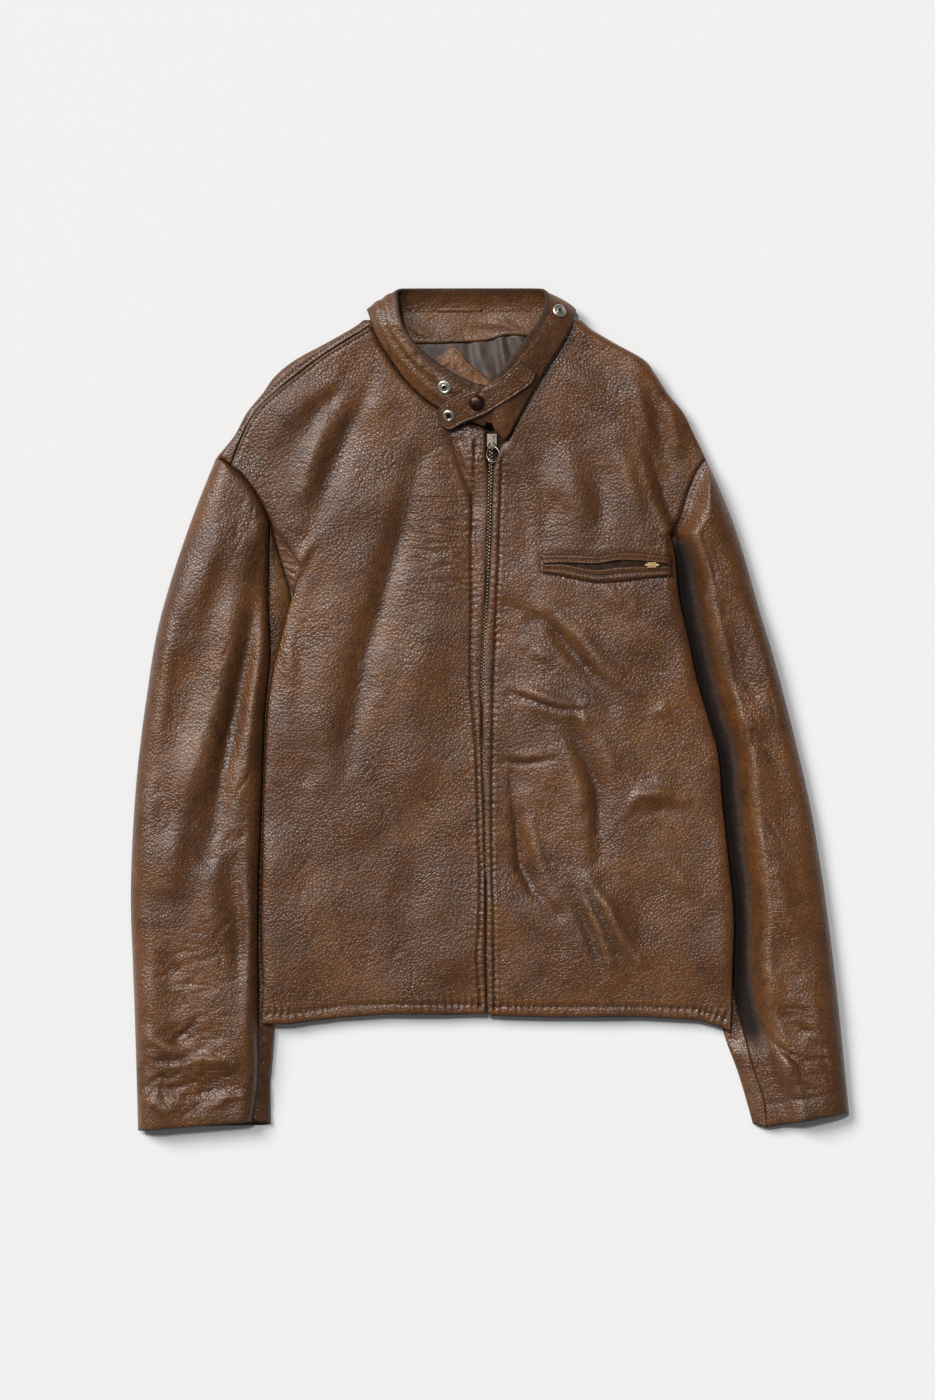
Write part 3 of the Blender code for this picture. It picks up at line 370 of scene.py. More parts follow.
def hide_texture(x, y, seed):
    """Unevenness that any piece of worn leather has, at three sizes."""
    return (1.9 * ripple(x, y, 44, seed) + 0.5 * ripple(x, y, 18, seed + 1, 1.4)
            + 0.12 * ripple(x, y, 8, seed + 2, 0.8))


def hem_y(x):
    return np.interp(x, *zip(*HEM))


print("folds:", len(BODY_FOLDS) + len(FINE_FOLDS), "creases:", len(BODY_CREASES))

# %% [markdown]
# ## Materials
#
# Worn leather changes colour over the size of a hand, where the dye has faded or darkened, and
# again at each edge, while its creases get painted shade.  Its surface is a mosaic of grains about
# three millimetres across.  Three effects are shared by every leather, so each is a node group: the
# dye, the grain and the wear with painted shade.  They read the piece's own coordinates and three
# values that are written on the mesh: relief, above zero on ridges and below zero in creases, where
# shade is painted; edge_and_painted_shadow, near one along cut edges and seams and where a painted
# shadow falls; and pulled, above zero where fine lines are drawn in across the leather.
# %% Small helpers for nodes
def node(tree, kind, inputs=(), **settings):
    """A node with its inputs given as values or as the sockets that feed them."""
    made = tree.nodes.new("ShaderNode" + kind)
    for name, value in settings.items():
        setattr(made, name, value)
    for name, value in dict(inputs).items():
        socket = made.inputs[name]
        if isinstance(value, bpy.types.NodeSocket):
            tree.links.new(value, socket)
        else:
            socket.default_value = value
    return made


def compute(tree, operation, a, b=0.0, c=0.0):
    return node(tree, "Math", {0: a, 1: b, 2: c}, operation=operation).outputs[0]


def spread(tree, value, low, high, to_low=0.0, to_high=1.0):
    """The value mapped softly from one range to another."""
    return node(tree, "MapRange", {"Value": value, "From Min": low, "From Max": high,
                                   "To Min": to_low, "To Max": to_high},
                interpolation_type="SMOOTHSTEP").outputs["Result"]


def mixed(tree, factor, a, b):
    """Colour a turned into colour b by that factor."""
    return node(tree, "Mix", {0: factor, 6: a, 7: b}, data_type="RGBA").outputs[2]


def place_of(tree):
    """The piece's own coordinates, in metres."""
    return node(tree, "TexCoord").outputs["Object"]


def written(tree, name):
    """A value that is written on the mesh, point by point."""
    return node(tree, "Attribute", attribute_name=name, attribute_type="GEOMETRY").outputs["Fac"]


def noise(tree, at, scale, detail, **settings):
    """Cloudy noise with that many clouds in a metre."""
    inputs = {"Vector": at, "Scale": scale, "Detail": detail, **settings}
    return node(tree, "TexNoise", inputs).outputs["Fac"]


def raise_surface(tree, shader, height, distance):
    """Bump from a height between 0 and 1, which stands for that distance in metres."""
    bump = node(tree, "Bump", {"Height": height, "Distance": distance})
    tree.links.new(bump.outputs[0], shader.inputs["Normal"])


def group(name, inputs, outputs):
    """An empty node group with its sockets; inputs give their default values."""
    tree = bpy.data.node_groups.new(name, "ShaderNodeTree")
    for label, value in inputs.items():
        kind = "NodeSocketColor" if isinstance(value, tuple) else "NodeSocketFloat"
        tree.interface.new_socket(label, in_out="INPUT", socket_type=kind).default_value = value
    for label, kind in outputs.items():
        tree.interface.new_socket(label, in_out="OUTPUT", socket_type="NodeSocket" + kind)
    return tree, tree.nodes.new("NodeGroupInput").outputs, tree.nodes.new("NodeGroupOutput").inputs


def place(tree, shared, values):
    """A shared group inside a material."""
    return node(tree, "Group", values, node_tree=shared).outputs


def rgb(*values):
    return (*values, 1.0)


# %% Dye: colour that drifts from warm to dark over the hide
BROWN = rgb(0.1, 0.05, 0.025)
dye, ins, outs = group("dye", {"Warm": BROWN, "Mid": BROWN, "Dark": BROWN}, {"Color": "Color"})
at = place_of(dye)
clouds = noise(dye, at, 9.0, 4.0, Roughness=0.6, Distortion=0.6)
patches = noise(dye, at, 38.0, 5.0, Roughness=0.65)
specks = noise(dye, at, 420.0, 3.0, Roughness=0.7)
tone = mixed(dye, spread(dye, clouds, 0.38, 0.66), ins["Mid"], ins["Warm"])
tone = mixed(dye, spread(dye, patches, 0.44, 0.78, 0.0, 0.6), tone, ins["Dark"])
tone = mixed(dye, spread(dye, specks, 0.42, 0.75, 0.0, 0.5), tone, ins["Dark"])
dye.links.new(tone, outs["Color"])

# %% Grain: the mosaic of the hide's surface, as a height and as a mask of the furrows
def cells(scale, feature):
    """Distance in a mosaic of cells, to the middle of a cell or to its edge."""
    return node(grain, "TexVoronoi", {"Vector": bent, "Scale": scale}, feature=feature).outputs["Distance"]


grain, ins, outs = group("grain", {"Size": 1.0}, {"Height": "Float", "Furrows": "Float"})
at = place_of(grain)
warp = node(grain, "TexNoise", {"Vector": at, "Scale": 150.0, "Detail": 3.0}).outputs["Color"]
bent = node(grain, "VectorMath", {0: warp, 1: (0.0016, 0.0016, 0.0016), 2: at},
            operation="MULTIPLY_ADD").outputs[0]
pebble_scale = compute(grain, "DIVIDE", 340.0, ins["Size"])
domes = cells(pebble_scale, "F1")
furrow = spread(grain, cells(pebble_scale, "DISTANCE_TO_EDGE"), 0.0, 0.22)
fine = cells(compute(grain, "MULTIPLY", pebble_scale, 2.1), "DISTANCE_TO_EDGE")
drawn = noise(grain, at, 130.0, 5.0, Roughness=0.6, Distortion=0.8)
across = node(grain, "VectorMath", {0: at, 1: (13.0, 150.0, 13.0)}, operation="MULTIPLY").outputs[0]
contour = compute(grain, "SUBTRACT", noise(grain, across, 1.0, 1.5), 0.5)
contour = spread(grain, compute(grain, "ABSOLUTE", contour), 0.0, 0.035, 1.0, 0.0)
lines = compute(grain, "MULTIPLY", contour, written(grain, "pulled"))
height = 1.0
for part, amount in ((domes, -1.0), (furrow, 0.35), (spread(grain, fine, 0.0, 0.2), 0.05),
                     (drawn, 0.9), (lines, -1.6)):
    height = compute(grain, "MULTIPLY_ADD", part, amount, height)
grain.links.new(height, outs["Height"])
pits = compute(grain, "MULTIPLY", compute(grain, "SUBTRACT", 1.0, furrow),
               spread(grain, drawn, 0.62, 0.38, 0.25, 1.0))
pits = compute(grain, "MAXIMUM", pits, compute(grain, "MULTIPLY", lines, 0.9))
grain.links.new(pits, outs["Furrows"])

# %% Wear and painted shade: pale where ridges rub, dark along edges, painted shade in creases and a painted shadow strip
wear_and_shade, ins, outs = group("wear_and_shade", {"Color": BROWN, "Rubbed": BROWN, "DarkEdgeAndShade": rgb(0.010, 0.006, 0.004)},
                        {"Color": "Color", "Edge": "Float"})
relief, edge_and_painted_shadow = written(wear_and_shade, "relief"), written(wear_and_shade, "edge_and_painted_shadow")
broken = noise(wear_and_shade, place_of(wear_and_shade), 170.0, 5.0, Roughness=0.7)
ragged = spread(wear_and_shade, broken, 0.35, 0.65)
rub = compute(wear_and_shade, "MULTIPLY", spread(wear_and_shade, relief, 0.10, 0.9), ragged)
# crease_shade: painted shade, darker where the surface lies below the average around it
crease_shade = spread(wear_and_shade, compute(wear_and_shade, "MULTIPLY", relief, -1.0), 0.25, 1.0, 0.0, 0.35)
tone = mixed(wear_and_shade, compute(wear_and_shade, "MULTIPLY", rub, 0.38), ins["Color"], ins["Rubbed"])
tone = mixed(wear_and_shade, crease_shade, tone, ins["DarkEdgeAndShade"])
# Cut edges and seams are darkened here, and the same mix paints the shadow strip beside the body on the
# left sleeve
tone = mixed(wear_and_shade, compute(wear_and_shade, "MULTIPLY", edge_and_painted_shadow, spread(wear_and_shade, broken, 0.3, 0.7, 0.55, 1.0)),
             tone, ins["DarkEdgeAndShade"])
wear_and_shade.links.new(tone, outs["Color"])
wear_and_shade.links.new(edge_and_painted_shadow, outs["Edge"])


# %% Leathers
def new_material(name, roughness=0.5, metallic=0.0, specular=0.5):
    made = bpy.data.materials.new(name)
    made.use_nodes = True
    shader = made.node_tree.nodes["Principled BSDF"]
    shader.inputs["Roughness"].default_value = roughness
    shader.inputs["Metallic"].default_value = metallic
    shader.inputs["Specular IOR Level"].default_value = specular
    return made, made.node_tree, shader


def leather(name, warm, mid, dark, rubbed, roughness, grain_size, relief_mm):
    """Dyed, grained and worn leather with painted shade in its creases; grain_size is 1 for cells of about
    three millimetres.
    """
    made, tree, shader = new_material(name)
    colour = place(tree, dye, {"Warm": warm, "Mid": mid, "Dark": dark})["Color"]
    worn_and_shaded = place(tree, wear_and_shade, {"Color": colour, "Rubbed": rubbed})
    skin = place(tree, grain, {"Size": grain_size})
    colour = mixed(tree, spread(tree, skin["Furrows"], 0.1, 0.9, 0.0, 0.5), worn_and_shaded["Color"], dark)
    tree.links.new(colour, shader.inputs["Base Color"])
    sheen = noise(tree, place_of(tree), 30.0, 4.0)
    dull = spread(tree, sheen, 0.3, 0.7, roughness - 0.05, roughness + 0.08)
    dull = compute(tree, "MULTIPLY_ADD", skin["Furrows"], 0.12, dull)
    dull = compute(tree, "MULTIPLY_ADD", worn_and_shaded["Edge"], 0.5, dull)
    tree.links.new(dull, shader.inputs["Roughness"])
    raise_surface(tree, shader, skin["Height"], relief_mm * MM)
    return made


HIDE = leather("hide", rgb(0.152, 0.055, 0.013), rgb(0.100, 0.036, 0.010), rgb(0.030, 0.011, 0.004),
               rgb(0.23, 0.125, 0.06), 0.29, 1.0, 0.30)
INNER_HIDE = leather("inner_hide", rgb(0.19, 0.078, 0.022), rgb(0.13, 0.052, 0.017),
                     rgb(0.045, 0.018, 0.008), rgb(0.30, 0.17, 0.09), 0.36, 1.0, 0.26)
WORN_HIDE = leather("worn_hide", rgb(0.36, 0.16, 0.055), rgb(0.19, 0.078, 0.026),
                    rgb(0.06, 0.022, 0.010), rgb(0.55, 0.33, 0.18), 0.45, 1.2, 0.30)


# %% [markdown]
# The lining is a dark satin.  Its yarns are far finer than a millimetre, so what shows is a soft
# sheen with faint lines of weave.  Zip tape is a matt weave, and the thread is a fine yarn darker
# than the leather.  Only the patch is sewn with a pale one.
# %% Fabrics and thread
def woven(name, colour, pale, scale, roughness, depth_mm, specular=0.5):
    """Cloth of crossed yarns; a larger scale makes them finer."""
    made, tree, shader = new_material(name, roughness, specular=specular)
    at = place_of(tree)
    warp_yarns, weft_yarns = (node(tree, "TexWave", {"Vector": at, "Scale": scale, "Distortion": 1.5},
                                   bands_direction=way).outputs["Fac"] for way in "XY")
    weave = compute(tree, "MULTIPLY", warp_yarns, weft_yarns)
    tone = mixed(tree, spread(tree, noise(tree, at, 120.0, 4.0), 0.3, 0.75), colour, pale)
    tone = mixed(tree, compute(tree, "MULTIPLY", weave, 0.4), tone, pale)
    tree.links.new(tone, shader.inputs["Base Color"])
    raise_surface(tree, shader, weave, depth_mm * MM)
    return made, shader


SATIN, satin_shader = woven("satin", rgb(0.046, 0.028, 0.021), rgb(0.092, 0.061, 0.047), 700.0,
                            0.38, 0.05)
satin_shader.inputs["Sheen Weight"].default_value = 0.25
TAPE, _ = woven("tape", rgb(0.018, 0.010, 0.006), rgb(0.045, 0.026, 0.015), 500.0, 0.85, 0.12, 0.15)
THREAD, _ = woven("thread", rgb(0.012, 0.007, 0.005), rgb(0.030, 0.017, 0.011), 1500.0, 0.7, 0.05)
PALE_TAPE, _ = woven("pale_tape", rgb(0.20, 0.13, 0.075), rgb(0.34, 0.25, 0.16), 500.0, 0.8, 0.1)


# %% [markdown]
# The fittings are plated brass and steel, handled for decades.  The plate is bright where fingers
# polish it and brown in the corners, so the colour and the roughness follow a coarse noise,
# and fine scratches break the shine.
# %% Metals
def metal(name, bright, dull, roughness, dirt_amount):
    made, tree, shader = new_material(name, roughness, metallic=1.0)
    at = place_of(tree)
    stain = noise(tree, at, 450.0, 5.0, Roughness=0.65)
    scratch = noise(tree, at, 2600.0, 2.0)
    tone = mixed(tree, spread(tree, stain, 0.42, 0.72, 0.0, dirt_amount), bright, dull)
    tree.links.new(tone, shader.inputs["Base Color"])
    shine = spread(tree, stain, 0.35, 0.7, roughness, roughness + 0.3)
    tree.links.new(compute(tree, "MULTIPLY_ADD", scratch, 0.12, shine), shader.inputs["Roughness"])
    raise_surface(tree, shader, scratch, 0.03 * MM)
    return made


NICKEL = metal("nickel_plate", rgb(0.60, 0.56, 0.48), rgb(0.16, 0.12, 0.08), 0.22, 0.9)
BRASS = metal("old_brass", rgb(0.66, 0.47, 0.22), rgb(0.22, 0.14, 0.07), 0.30, 0.9)
OLD_NICKEL = metal("worn_nickel", rgb(0.40, 0.34, 0.26), rgb(0.10, 0.07, 0.045), 0.26, 0.95)
TOOTH = metal("zip_metal", rgb(0.56, 0.44, 0.29), rgb(0.10, 0.065, 0.035), 0.24, 0.7)
DARK_METAL = metal("dark_plate", rgb(0.050, 0.034, 0.032), rgb(0.10, 0.045, 0.028), 0.20, 0.8)

# %% [markdown]
# ## Panels
#
# A panel is a grid of points, row by row from hem to collar.  The grid becomes a mesh, and Solidify
# gives it the thickness of the leather on the inside.  Each panel also carries the values that the
# leather reads: relief, which is how far a point stands above the average around it and sets the
# painted crease shade, edge_and_painted_shadow, which is near one along the cut edges and seams and
# where a painted shadow falls, and on four panels pulled, for the fine lines.
# %% From a grid of points to a piece of leather
JACKET = {}


def blurred(values, times):
    """Each value replaced by the mean of itself and its neighbours, again and again."""
    for _ in range(times):
        wide = np.pad(values, 1, mode="edge")
        values = (2 * values + wide[:-2, 1:-1] + wide[2:, 1:-1] + wide[1:-1, :-2]
                  + wide[1:-1, 2:]) / 6
    return values


def write_attribute(mesh, name, values):
    mesh.attributes.new(name, "FLOAT", "POINT").data.foreach_set("value", values.astype(np.float32))


def finish_piece(piece, node_names, finish):
    """Give a piece its material, its body and the CAD nodes that it stands for."""
    if finish:
        piece.data.materials.clear()
        piece.data.materials.append(finish)
    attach(piece, BODY)
    if node_names:
        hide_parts(*node_names)
    JACKET[piece.name] = piece
    return piece


def select_only(piece):
    bpy.ops.object.select_all(action="DESELECT")
    piece.select_set(True)
    bpy.context.view_layer.objects.active = piece


def apply_modifiers(piece):
    select_only(piece)
    for modifier in list(piece.modifiers):
        bpy.ops.object.modifier_apply(modifier=modifier.name)
    return piece


def grid_mesh(name, points, relief, edge_and_painted_shadow, upwards=True, closed=False):
    """Mesh of a grid of points (rows, columns, xyz) in mm; closed joins the last column to the first."""
    rows, columns = points.shape[:2]
    index = np.arange(rows * columns).reshape(rows, columns)
    if closed:
        index = np.concatenate([index, index[:, :1]], axis=1)
    faces = np.stack([index[:-1, :-1], index[:-1, 1:], index[1:, 1:], index[1:, :-1]], -1)
    corners = points.reshape(-1, 3)
    loops = faces.reshape(-1, 4)
    first, second = (corners[loops[:, k]] - corners[loops[:, 0]] for k in (1, 3))
    facing = np.cross(first, second)[:, 2].sum()
    if not closed and (facing > 0) != upwards:
        loops = loops[:, ::-1]
    mesh = bpy.data.meshes.new(name)
    mesh.from_pydata((corners * MM).tolist(), [], loops.tolist())
    write_attribute(mesh, "relief", relief.reshape(-1))
    write_attribute(mesh, "edge_and_painted_shadow", edge_and_painted_shadow.reshape(-1))
    mesh.shade_smooth()
    piece = bpy.data.objects.new(name, mesh)
    bpy.context.scene.collection.objects.link(piece)
    return piece


# Where fine lines are drawn in across a panel: centre and reach in mm, and strength
PULLED = {
    "front_right_panel": ((-46, 168), (48, 92), 1.0),
    "front_left_panel": ((40, 60), (40, 50), 0.35),
    "sleeve_right_top": ((-285, -320), (60, 90), 0.5),
    "sleeve_left_top": ((300, -340), (50, 70), 0.5),
}


def sheet_piece(name, points, wall, upwards=True, relief=None, edge_and_painted_shadow=None):
    """A grid of points as leather or cloth of that thickness, with what its material reads."""
    if relief is None:
        relief = (points[..., 2] - blurred(points[..., 2], 14)) * 1.1
    if edge_and_painted_shadow is None:
        edge_and_painted_shadow = np.zeros(points.shape[:2])
    piece = grid_mesh(name, points, np.clip(relief, -1, 1), edge_and_painted_shadow, upwards)
    if name in PULLED:
        centre, reach, strength = PULLED[name]
        away = np.hypot(*((points[..., k] - centre[k]) / reach[k] for k in (0, 1)))
        write_attribute(piece.data, "pulled", strength * (1 - ease(0.45, 1.0, away)).reshape(-1))
    solid = piece.modifiers.new("wall", "SOLIDIFY")
    solid.thickness, solid.offset = wall * MM, -1
    return apply_modifiers(piece)


def uneven_steps(count, tight):
    """Steps from 0 to 1 that are closer at both ends, by a share between 0 and 1."""
    s = np.linspace(0, 1, count)
    return s - tight * np.sin(2 * np.pi * s) / (2 * np.pi)


# %% [markdown]
# The two fronts.  Each runs from the zip to the side, up the armhole and along the shoulder to the
# neck.  Stitched seams pull the leather down into a groove with small gathers, and a doubled
# edge beside the zip stands a little proud.
# %% Seam lines on the fronts
PLACKET_RIGHT = [(-14, 255), (-16.5, 200), (-17.5, 150), (-17, 106), (-18, 27), (-12, -47),
                 (-10, -132), (-8.5, -157), (-10, -210), (-12, -236), (-9, -284)]
PLACKET_LEFT = [(12, 240), (10.5, 200), (9, 150), (7, 106), (4, 27), (2.6, -52), (2.4, -132),
                (4, -197), (5, -286)]
HEM_STITCH_RIGHT = [(-216, -291), (-178, -289), (-143, -283), (-99, -281), (-67, -281.5), (-7, -281)]
HEM_STITCH_LEFT = [(2, -283), (20, -283.5), (144, -283.5), (198, -286), (229, -296)]
ARMHOLE_STITCH_RIGHT = [(-207.5, 176), (-213.5, 191), (-222, 205), (-235, 221.5), (-245, 230)]
SHOULDER_STITCH_RIGHT = [(-244, 236), (-236.5, 255), (-228, 273), (-216.5, 289), (-193, 309.5),
                         (-156, 337.5), (-112, 364)]


SIDE_FOOT = 13.8    # how high a front ends where it turns down at the side


def seam_sink(x, y, path, depth, width, gather, seed):
    """A seam: the two pieces dip into it and pucker beside it."""
    return groove(x, y, path, width, depth) + gathers(x, y, path, 6.0, gather, 6.5, seed)


def front_surface(x, y):
    """Everything that a front's leather does apart from its own edges."""
    folded = 0.86 * folds_at(x, y, FINE_FOLDS) + 0.8 * creases_at(x, y, BODY_CREASES)
    return body_base(x, y) + folded + hide_texture(x, y, 20)


def zip_side(x, y, from_zip, neck_start, neck_end):
    """Height and wear of the doubled edge beside the zip, the cut edge and the hem."""
    doubled = 0.8 * bell(from_zip - 5, 5) * (1 - ease(neck_start, neck_end, y))
    turned_in = 1.3 * (bell(from_zip, 1.3) + bell(y - hem_y(x), 1.6))
    return doubled - turned_in, 0.9 * (bell(from_zip, 1.2) + bell(y - hem_y(x), 1.5))


def hem_rows(ys, start, xs):
    """Rows that follow the hem at the bottom and become level 40 mm above it."""
    follow = 1 - ease(start, start + 40, ys)
    return ys[:, None] + (hem_y(xs) - start) * follow[:, None]


def front_right():
    ys = np.linspace(-295, 367.5, 322)
    open_top = 0.3 * ease(60, 110, ys) + 4.6 * ease(215, 250, ys)
    right = np.where(ys < 262, zip_x(ys) - 0.3 - open_top, edge([(-4.2, 262)] + NECK_RIGHT)(ys))
    left = edge(SIDE_RIGHT, UNDERARM_RIGHT, ARMHOLE_RIGHT, SHOULDER_RIGHT)(ys) + 0.2
    x = rows_between(left, right, uneven_steps(124, 0.55))
    y = hem_rows(ys, -295, x)
    z = front_surface(x, y)
    z += seam_sink(x, y, HEM_STITCH_RIGHT, 1.1, 1.6, 1.0, 31)
    z += seam_sink(x, y, PLACKET_RIGHT, 1.7, 1.6, 0.9, 33)
    z += seam_sink(x, y, ARMHOLE_STITCH_RIGHT, 0.8, 1.6, 0.35, 35)
    z += seam_sink(x, y, SHOULDER_STITCH_RIGHT, 0.8, 1.6, 0.3, 37)
    from_sleeve = to_path(x, y, ARMHOLE_RIGHT + SHOULDER_RIGHT[1:])[0]
    z -= 1.6 * bell(from_sleeve, 1.6)
    z -= 1.0 * bell(to_path(x, y, UNDERARM_RIGHT)[0], 2.5)
    z -= 2.2 * bell(to_path(x, y, NECK_RIGHT)[0], 3.0)
    rise, edge_and_painted_shadow = zip_side(x, y, right[:, None] - x, 240, 262)
    z += rise
    low = rounded(SIDE_FOOT, z, x - side_right(y), 13)
    z += (low - z) * (1 - ease(100, 137, y))
    edge_and_painted_shadow += 0.7 * bell(from_sleeve, 1.6)
    return sheet_piece("front_right_panel", np.stack([x, y, z], -1), HIDE_WALL,
                       edge_and_painted_shadow=np.clip(edge_and_painted_shadow, 0, 1))


POCKET_TOP = [(49, 149.5), (70, 149.5), (105, 148.5), (131, 151.5), (164, 148.5), (175, 146)]
POCKET_BOTTOM = [(50, 131), (70, 127.5), (101, 121.5), (126, 122.5), (159, 126.5), (175, 128)]
POCKET_FRAME = POCKET_TOP + POCKET_BOTTOM[::-1] + POCKET_TOP[:1]


def front_left():
    ys = np.linspace(-297, 373, 325)
    open_top = 6.0 * ease(225, 253, ys) + 1.9 * ease(60, 110, ys)
    left = np.where(ys < 252, zip_x(ys) + 0.3 + open_top, edge(NECK_LEFT)(ys))
    right = edge(SIDE_LEFT, ARMHOLE_LEFT, OUTLINE_LEFT)(ys) - 0.2
    x = rows_between(left, right, uneven_steps(124, 0.55))
    y = hem_rows(ys, -297, x)
    z = front_surface(x, y)
    z += seam_sink(x, y, HEM_STITCH_LEFT, 1.1, 1.6, 1.0, 41)
    z += seam_sink(x, y, PLACKET_LEFT, 1.7, 1.6, 0.9, 43)
    from_sleeve = to_path(x, y, ARMHOLE_LEFT)[0]
    z -= 1.5 * bell(from_sleeve, 2.2)
    z -= 2.2 * bell(to_path(x, y, NECK_LEFT)[0], 3.0)
    z += seam_sink(x, y, POCKET_FRAME, 0.9, 2.5, 0.25, 45)
    rise, edge_and_painted_shadow = zip_side(x, y, x - left[:, None], 225, 250)
    z += rise
    z = np.where(y < ARMHOLE_LEFT[0][1], rounded(SIDE_FOOT, z, side_left(y) - x, 13), z)
    shoulder = rounded(10.4, z, edge(OUTLINE_LEFT)(y) - x, 15)
    z = z + (shoulder - z) * ease(235, 250, y)
    edge_and_painted_shadow += 0.7 * bell(from_sleeve, 1.6)
    return sheet_piece("front_left_panel", np.stack([x, y, z], -1), HIDE_WALL,
                       edge_and_painted_shadow=np.clip(edge_and_painted_shadow, 0, 1))


finish_piece(front_right(), ["front_right"], HIDE)
finish_piece(front_left(), ["front_left"], HIDE)
for name in ("front_right_panel", "front_left_panel"):
    print(name, len(JACKET[name].data.polygons), "faces")

# %% [markdown]
# The back lies flat on the table.  Its margins climb at the sides to meet the fronts, and at the
# right shoulder it rolls over to the top, where its seam with the front lies.  A section is drawn
# for each height and cut into small steps.  The gathered piece below the armhole is the same
# leather, pushed up where the sleeve folds under.
# %% The back
def subdivided(section, steps):
    """A list of section points with each stretch cut into steps, softened at the corners."""
    points = np.array(section, float)
    t = np.arange(0, len(points) - 1 + 1e-9, 1 / steps)
    x, z = (np.interp(t, np.arange(len(points)), points[:, k]) for k in (0, 1))
    for _ in range(3):
        x[1:-1] = (x[:-2] + 2 * x[1:-1] + x[2:]) / 4
        z[1:-1] = (z[:-2] + 2 * z[1:-1] + z[2:]) / 4
    return x, z


def back_section(y):
    climb = (0, 1.5, 5, 10, 16, 24)
    if y > 236:
        line = edge(OUTLINE_RIGHT) if y > 242 else edge(SLEEVE_RIGHT["armhole"])
        x_left = float(line(y)) + (0.0 if y > 242 else 0.5)
        seam = float(edge(SHOULDER_RIGHT)(min(y, 369)))
        top = float(body_base(np.array([seam]), np.array([y]))[0])
        strip = max(seam - 0.4 - x_left, 4.0)
        reach = min(strip * 0.62, 12.0)
        section = [(x_left + strip, top)]
        section += [(x_left + reach * (1 - math.cos(a)), top / 2 * (1 + math.sin(a)))
                    for a in (1.1, 0.35, -0.35, -1.0)]
        section.append((x_left + 14, 0.0))
        end_rise = 8.6
    else:
        rise = 11.6 * (1 - 0.35 * float(ease(80, 112, y))) * (1 - float(ease(170, 205, y)))
        x_left = float(edge(SIDE_RIGHT[:-1], BACK_ARMHOLE_SEAM, SLEEVE_RIGHT["armhole"])(y))
        x_left += 1.8 if y > 105 else 0.2
        section = [(x_left + c, rise * (1 - float(ease(0, 24, c)))) for c in climb]
        end_rise = 11.6 * (1 - float(ease(165, 195, y)))
    x_right = float(edge(SIDE_LEFT, ARMHOLE_LEFT, OUTLINE_LEFT)(y))
    x_right -= 0.4 if y < 200 or y > 240 else 0.9
    if y > 241:
        end = [(x_right - 14 * (1 - math.cos(a)), end_rise * (1 - math.sin(a)))
               for a in (1.57, 1.2, 0.9, 0.6, 0.3, 0)]
        end[0] = (x_right - 14, 0)
    else:
        end = [(x_right - c, end_rise * (1 - float(ease(0, 24, c)))) for c in reversed(climb)]
    middle = np.linspace(section[-1][0], end[0][0], 4)[1:-1]
    return section + [(x, 0.0) for x in middle] + end


def back():
    ys = np.sort(np.append(np.linspace(-294, 373, 203), (236.4, 242.2)))
    rows = [subdivided(back_section(y), 6) for y in ys]
    x, z = np.array([r[0] for r in rows]), np.array([r[1] for r in rows])
    y = np.broadcast_to(ys[:, None], x.shape) + (hem_y(x) + 297) * (1 - ease(-294, -250, ys))[:, None]
    lifted = ease(0.5, 6, z)
    z = z + lifted * 0.6 * hide_texture(x, y, 60)
    seam = [(px - 3.0, py + 2.5) for px, py in SHOULDER_RIGHT[1:]]
    z += np.where(z > 6, seam_sink(x, y, seam, 0.7, 1.5, 0.3, 61), 0.0)
    z = np.maximum(z, 0.0)
    edge_and_painted_shadow = bell(np.minimum(ys + 294, 373 - ys), 1.6)[:, None] * np.ones(x.shape)
    return sheet_piece("back_panel", np.stack([x, y, z], -1), HIDE_WALL, upwards=False,
                       relief=0.4 * hide_texture(x, y, 62), edge_and_painted_shadow=edge_and_painted_shadow)


def underarm():
    """Gathered stretch of the back between the side seam and the sleeve."""
    ys = np.linspace(110, 177, 60)
    left, right = edge(BACK_ARMHOLE_SEAM)(ys) + 0.4, edge(SIDE_RIGHT, UNDERARM_RIGHT)(ys) - 0.3
    t = np.linspace(0, 1, 22)
    x = rows_between(left, right, t)
    y = np.broadcast_to(ys[:, None], x.shape)
    front = body_base(np.broadcast_to(right[:, None], x.shape), y) - 1.5
    z = 14.0 + (front - 14.0) * t - 1.5 * (1 - ease(112, 140, y))
    across = np.sin(2 * np.pi * (y + 0.35 * x) / 7.5 + 1.5 * ripple(y, x, 16, 3))
    uneven = 0.5 + 0.5 * ripple(x, y, 9, 67)
    z = z + 0.45 * uneven * across * np.sin(np.pi * np.clip(t, 0.08, 0.92))
    z = z + 0.4 * hide_texture(x, y, 66)
    edge_and_painted_shadow = 0.8 * bell(np.minimum(x - left[:, None], right[:, None] - x), 1.2)
    return sheet_piece("underarm_panel", np.stack([x, y, z], -1), HIDE_WALL, edge_and_painted_shadow=edge_and_painted_shadow)


finish_piece(back(), ["back"], HIDE)
finish_piece(underarm(), ["back_underarm_right"], HIDE)
print("back_panel", len(JACKET["back_panel"].data.polygons), "faces")

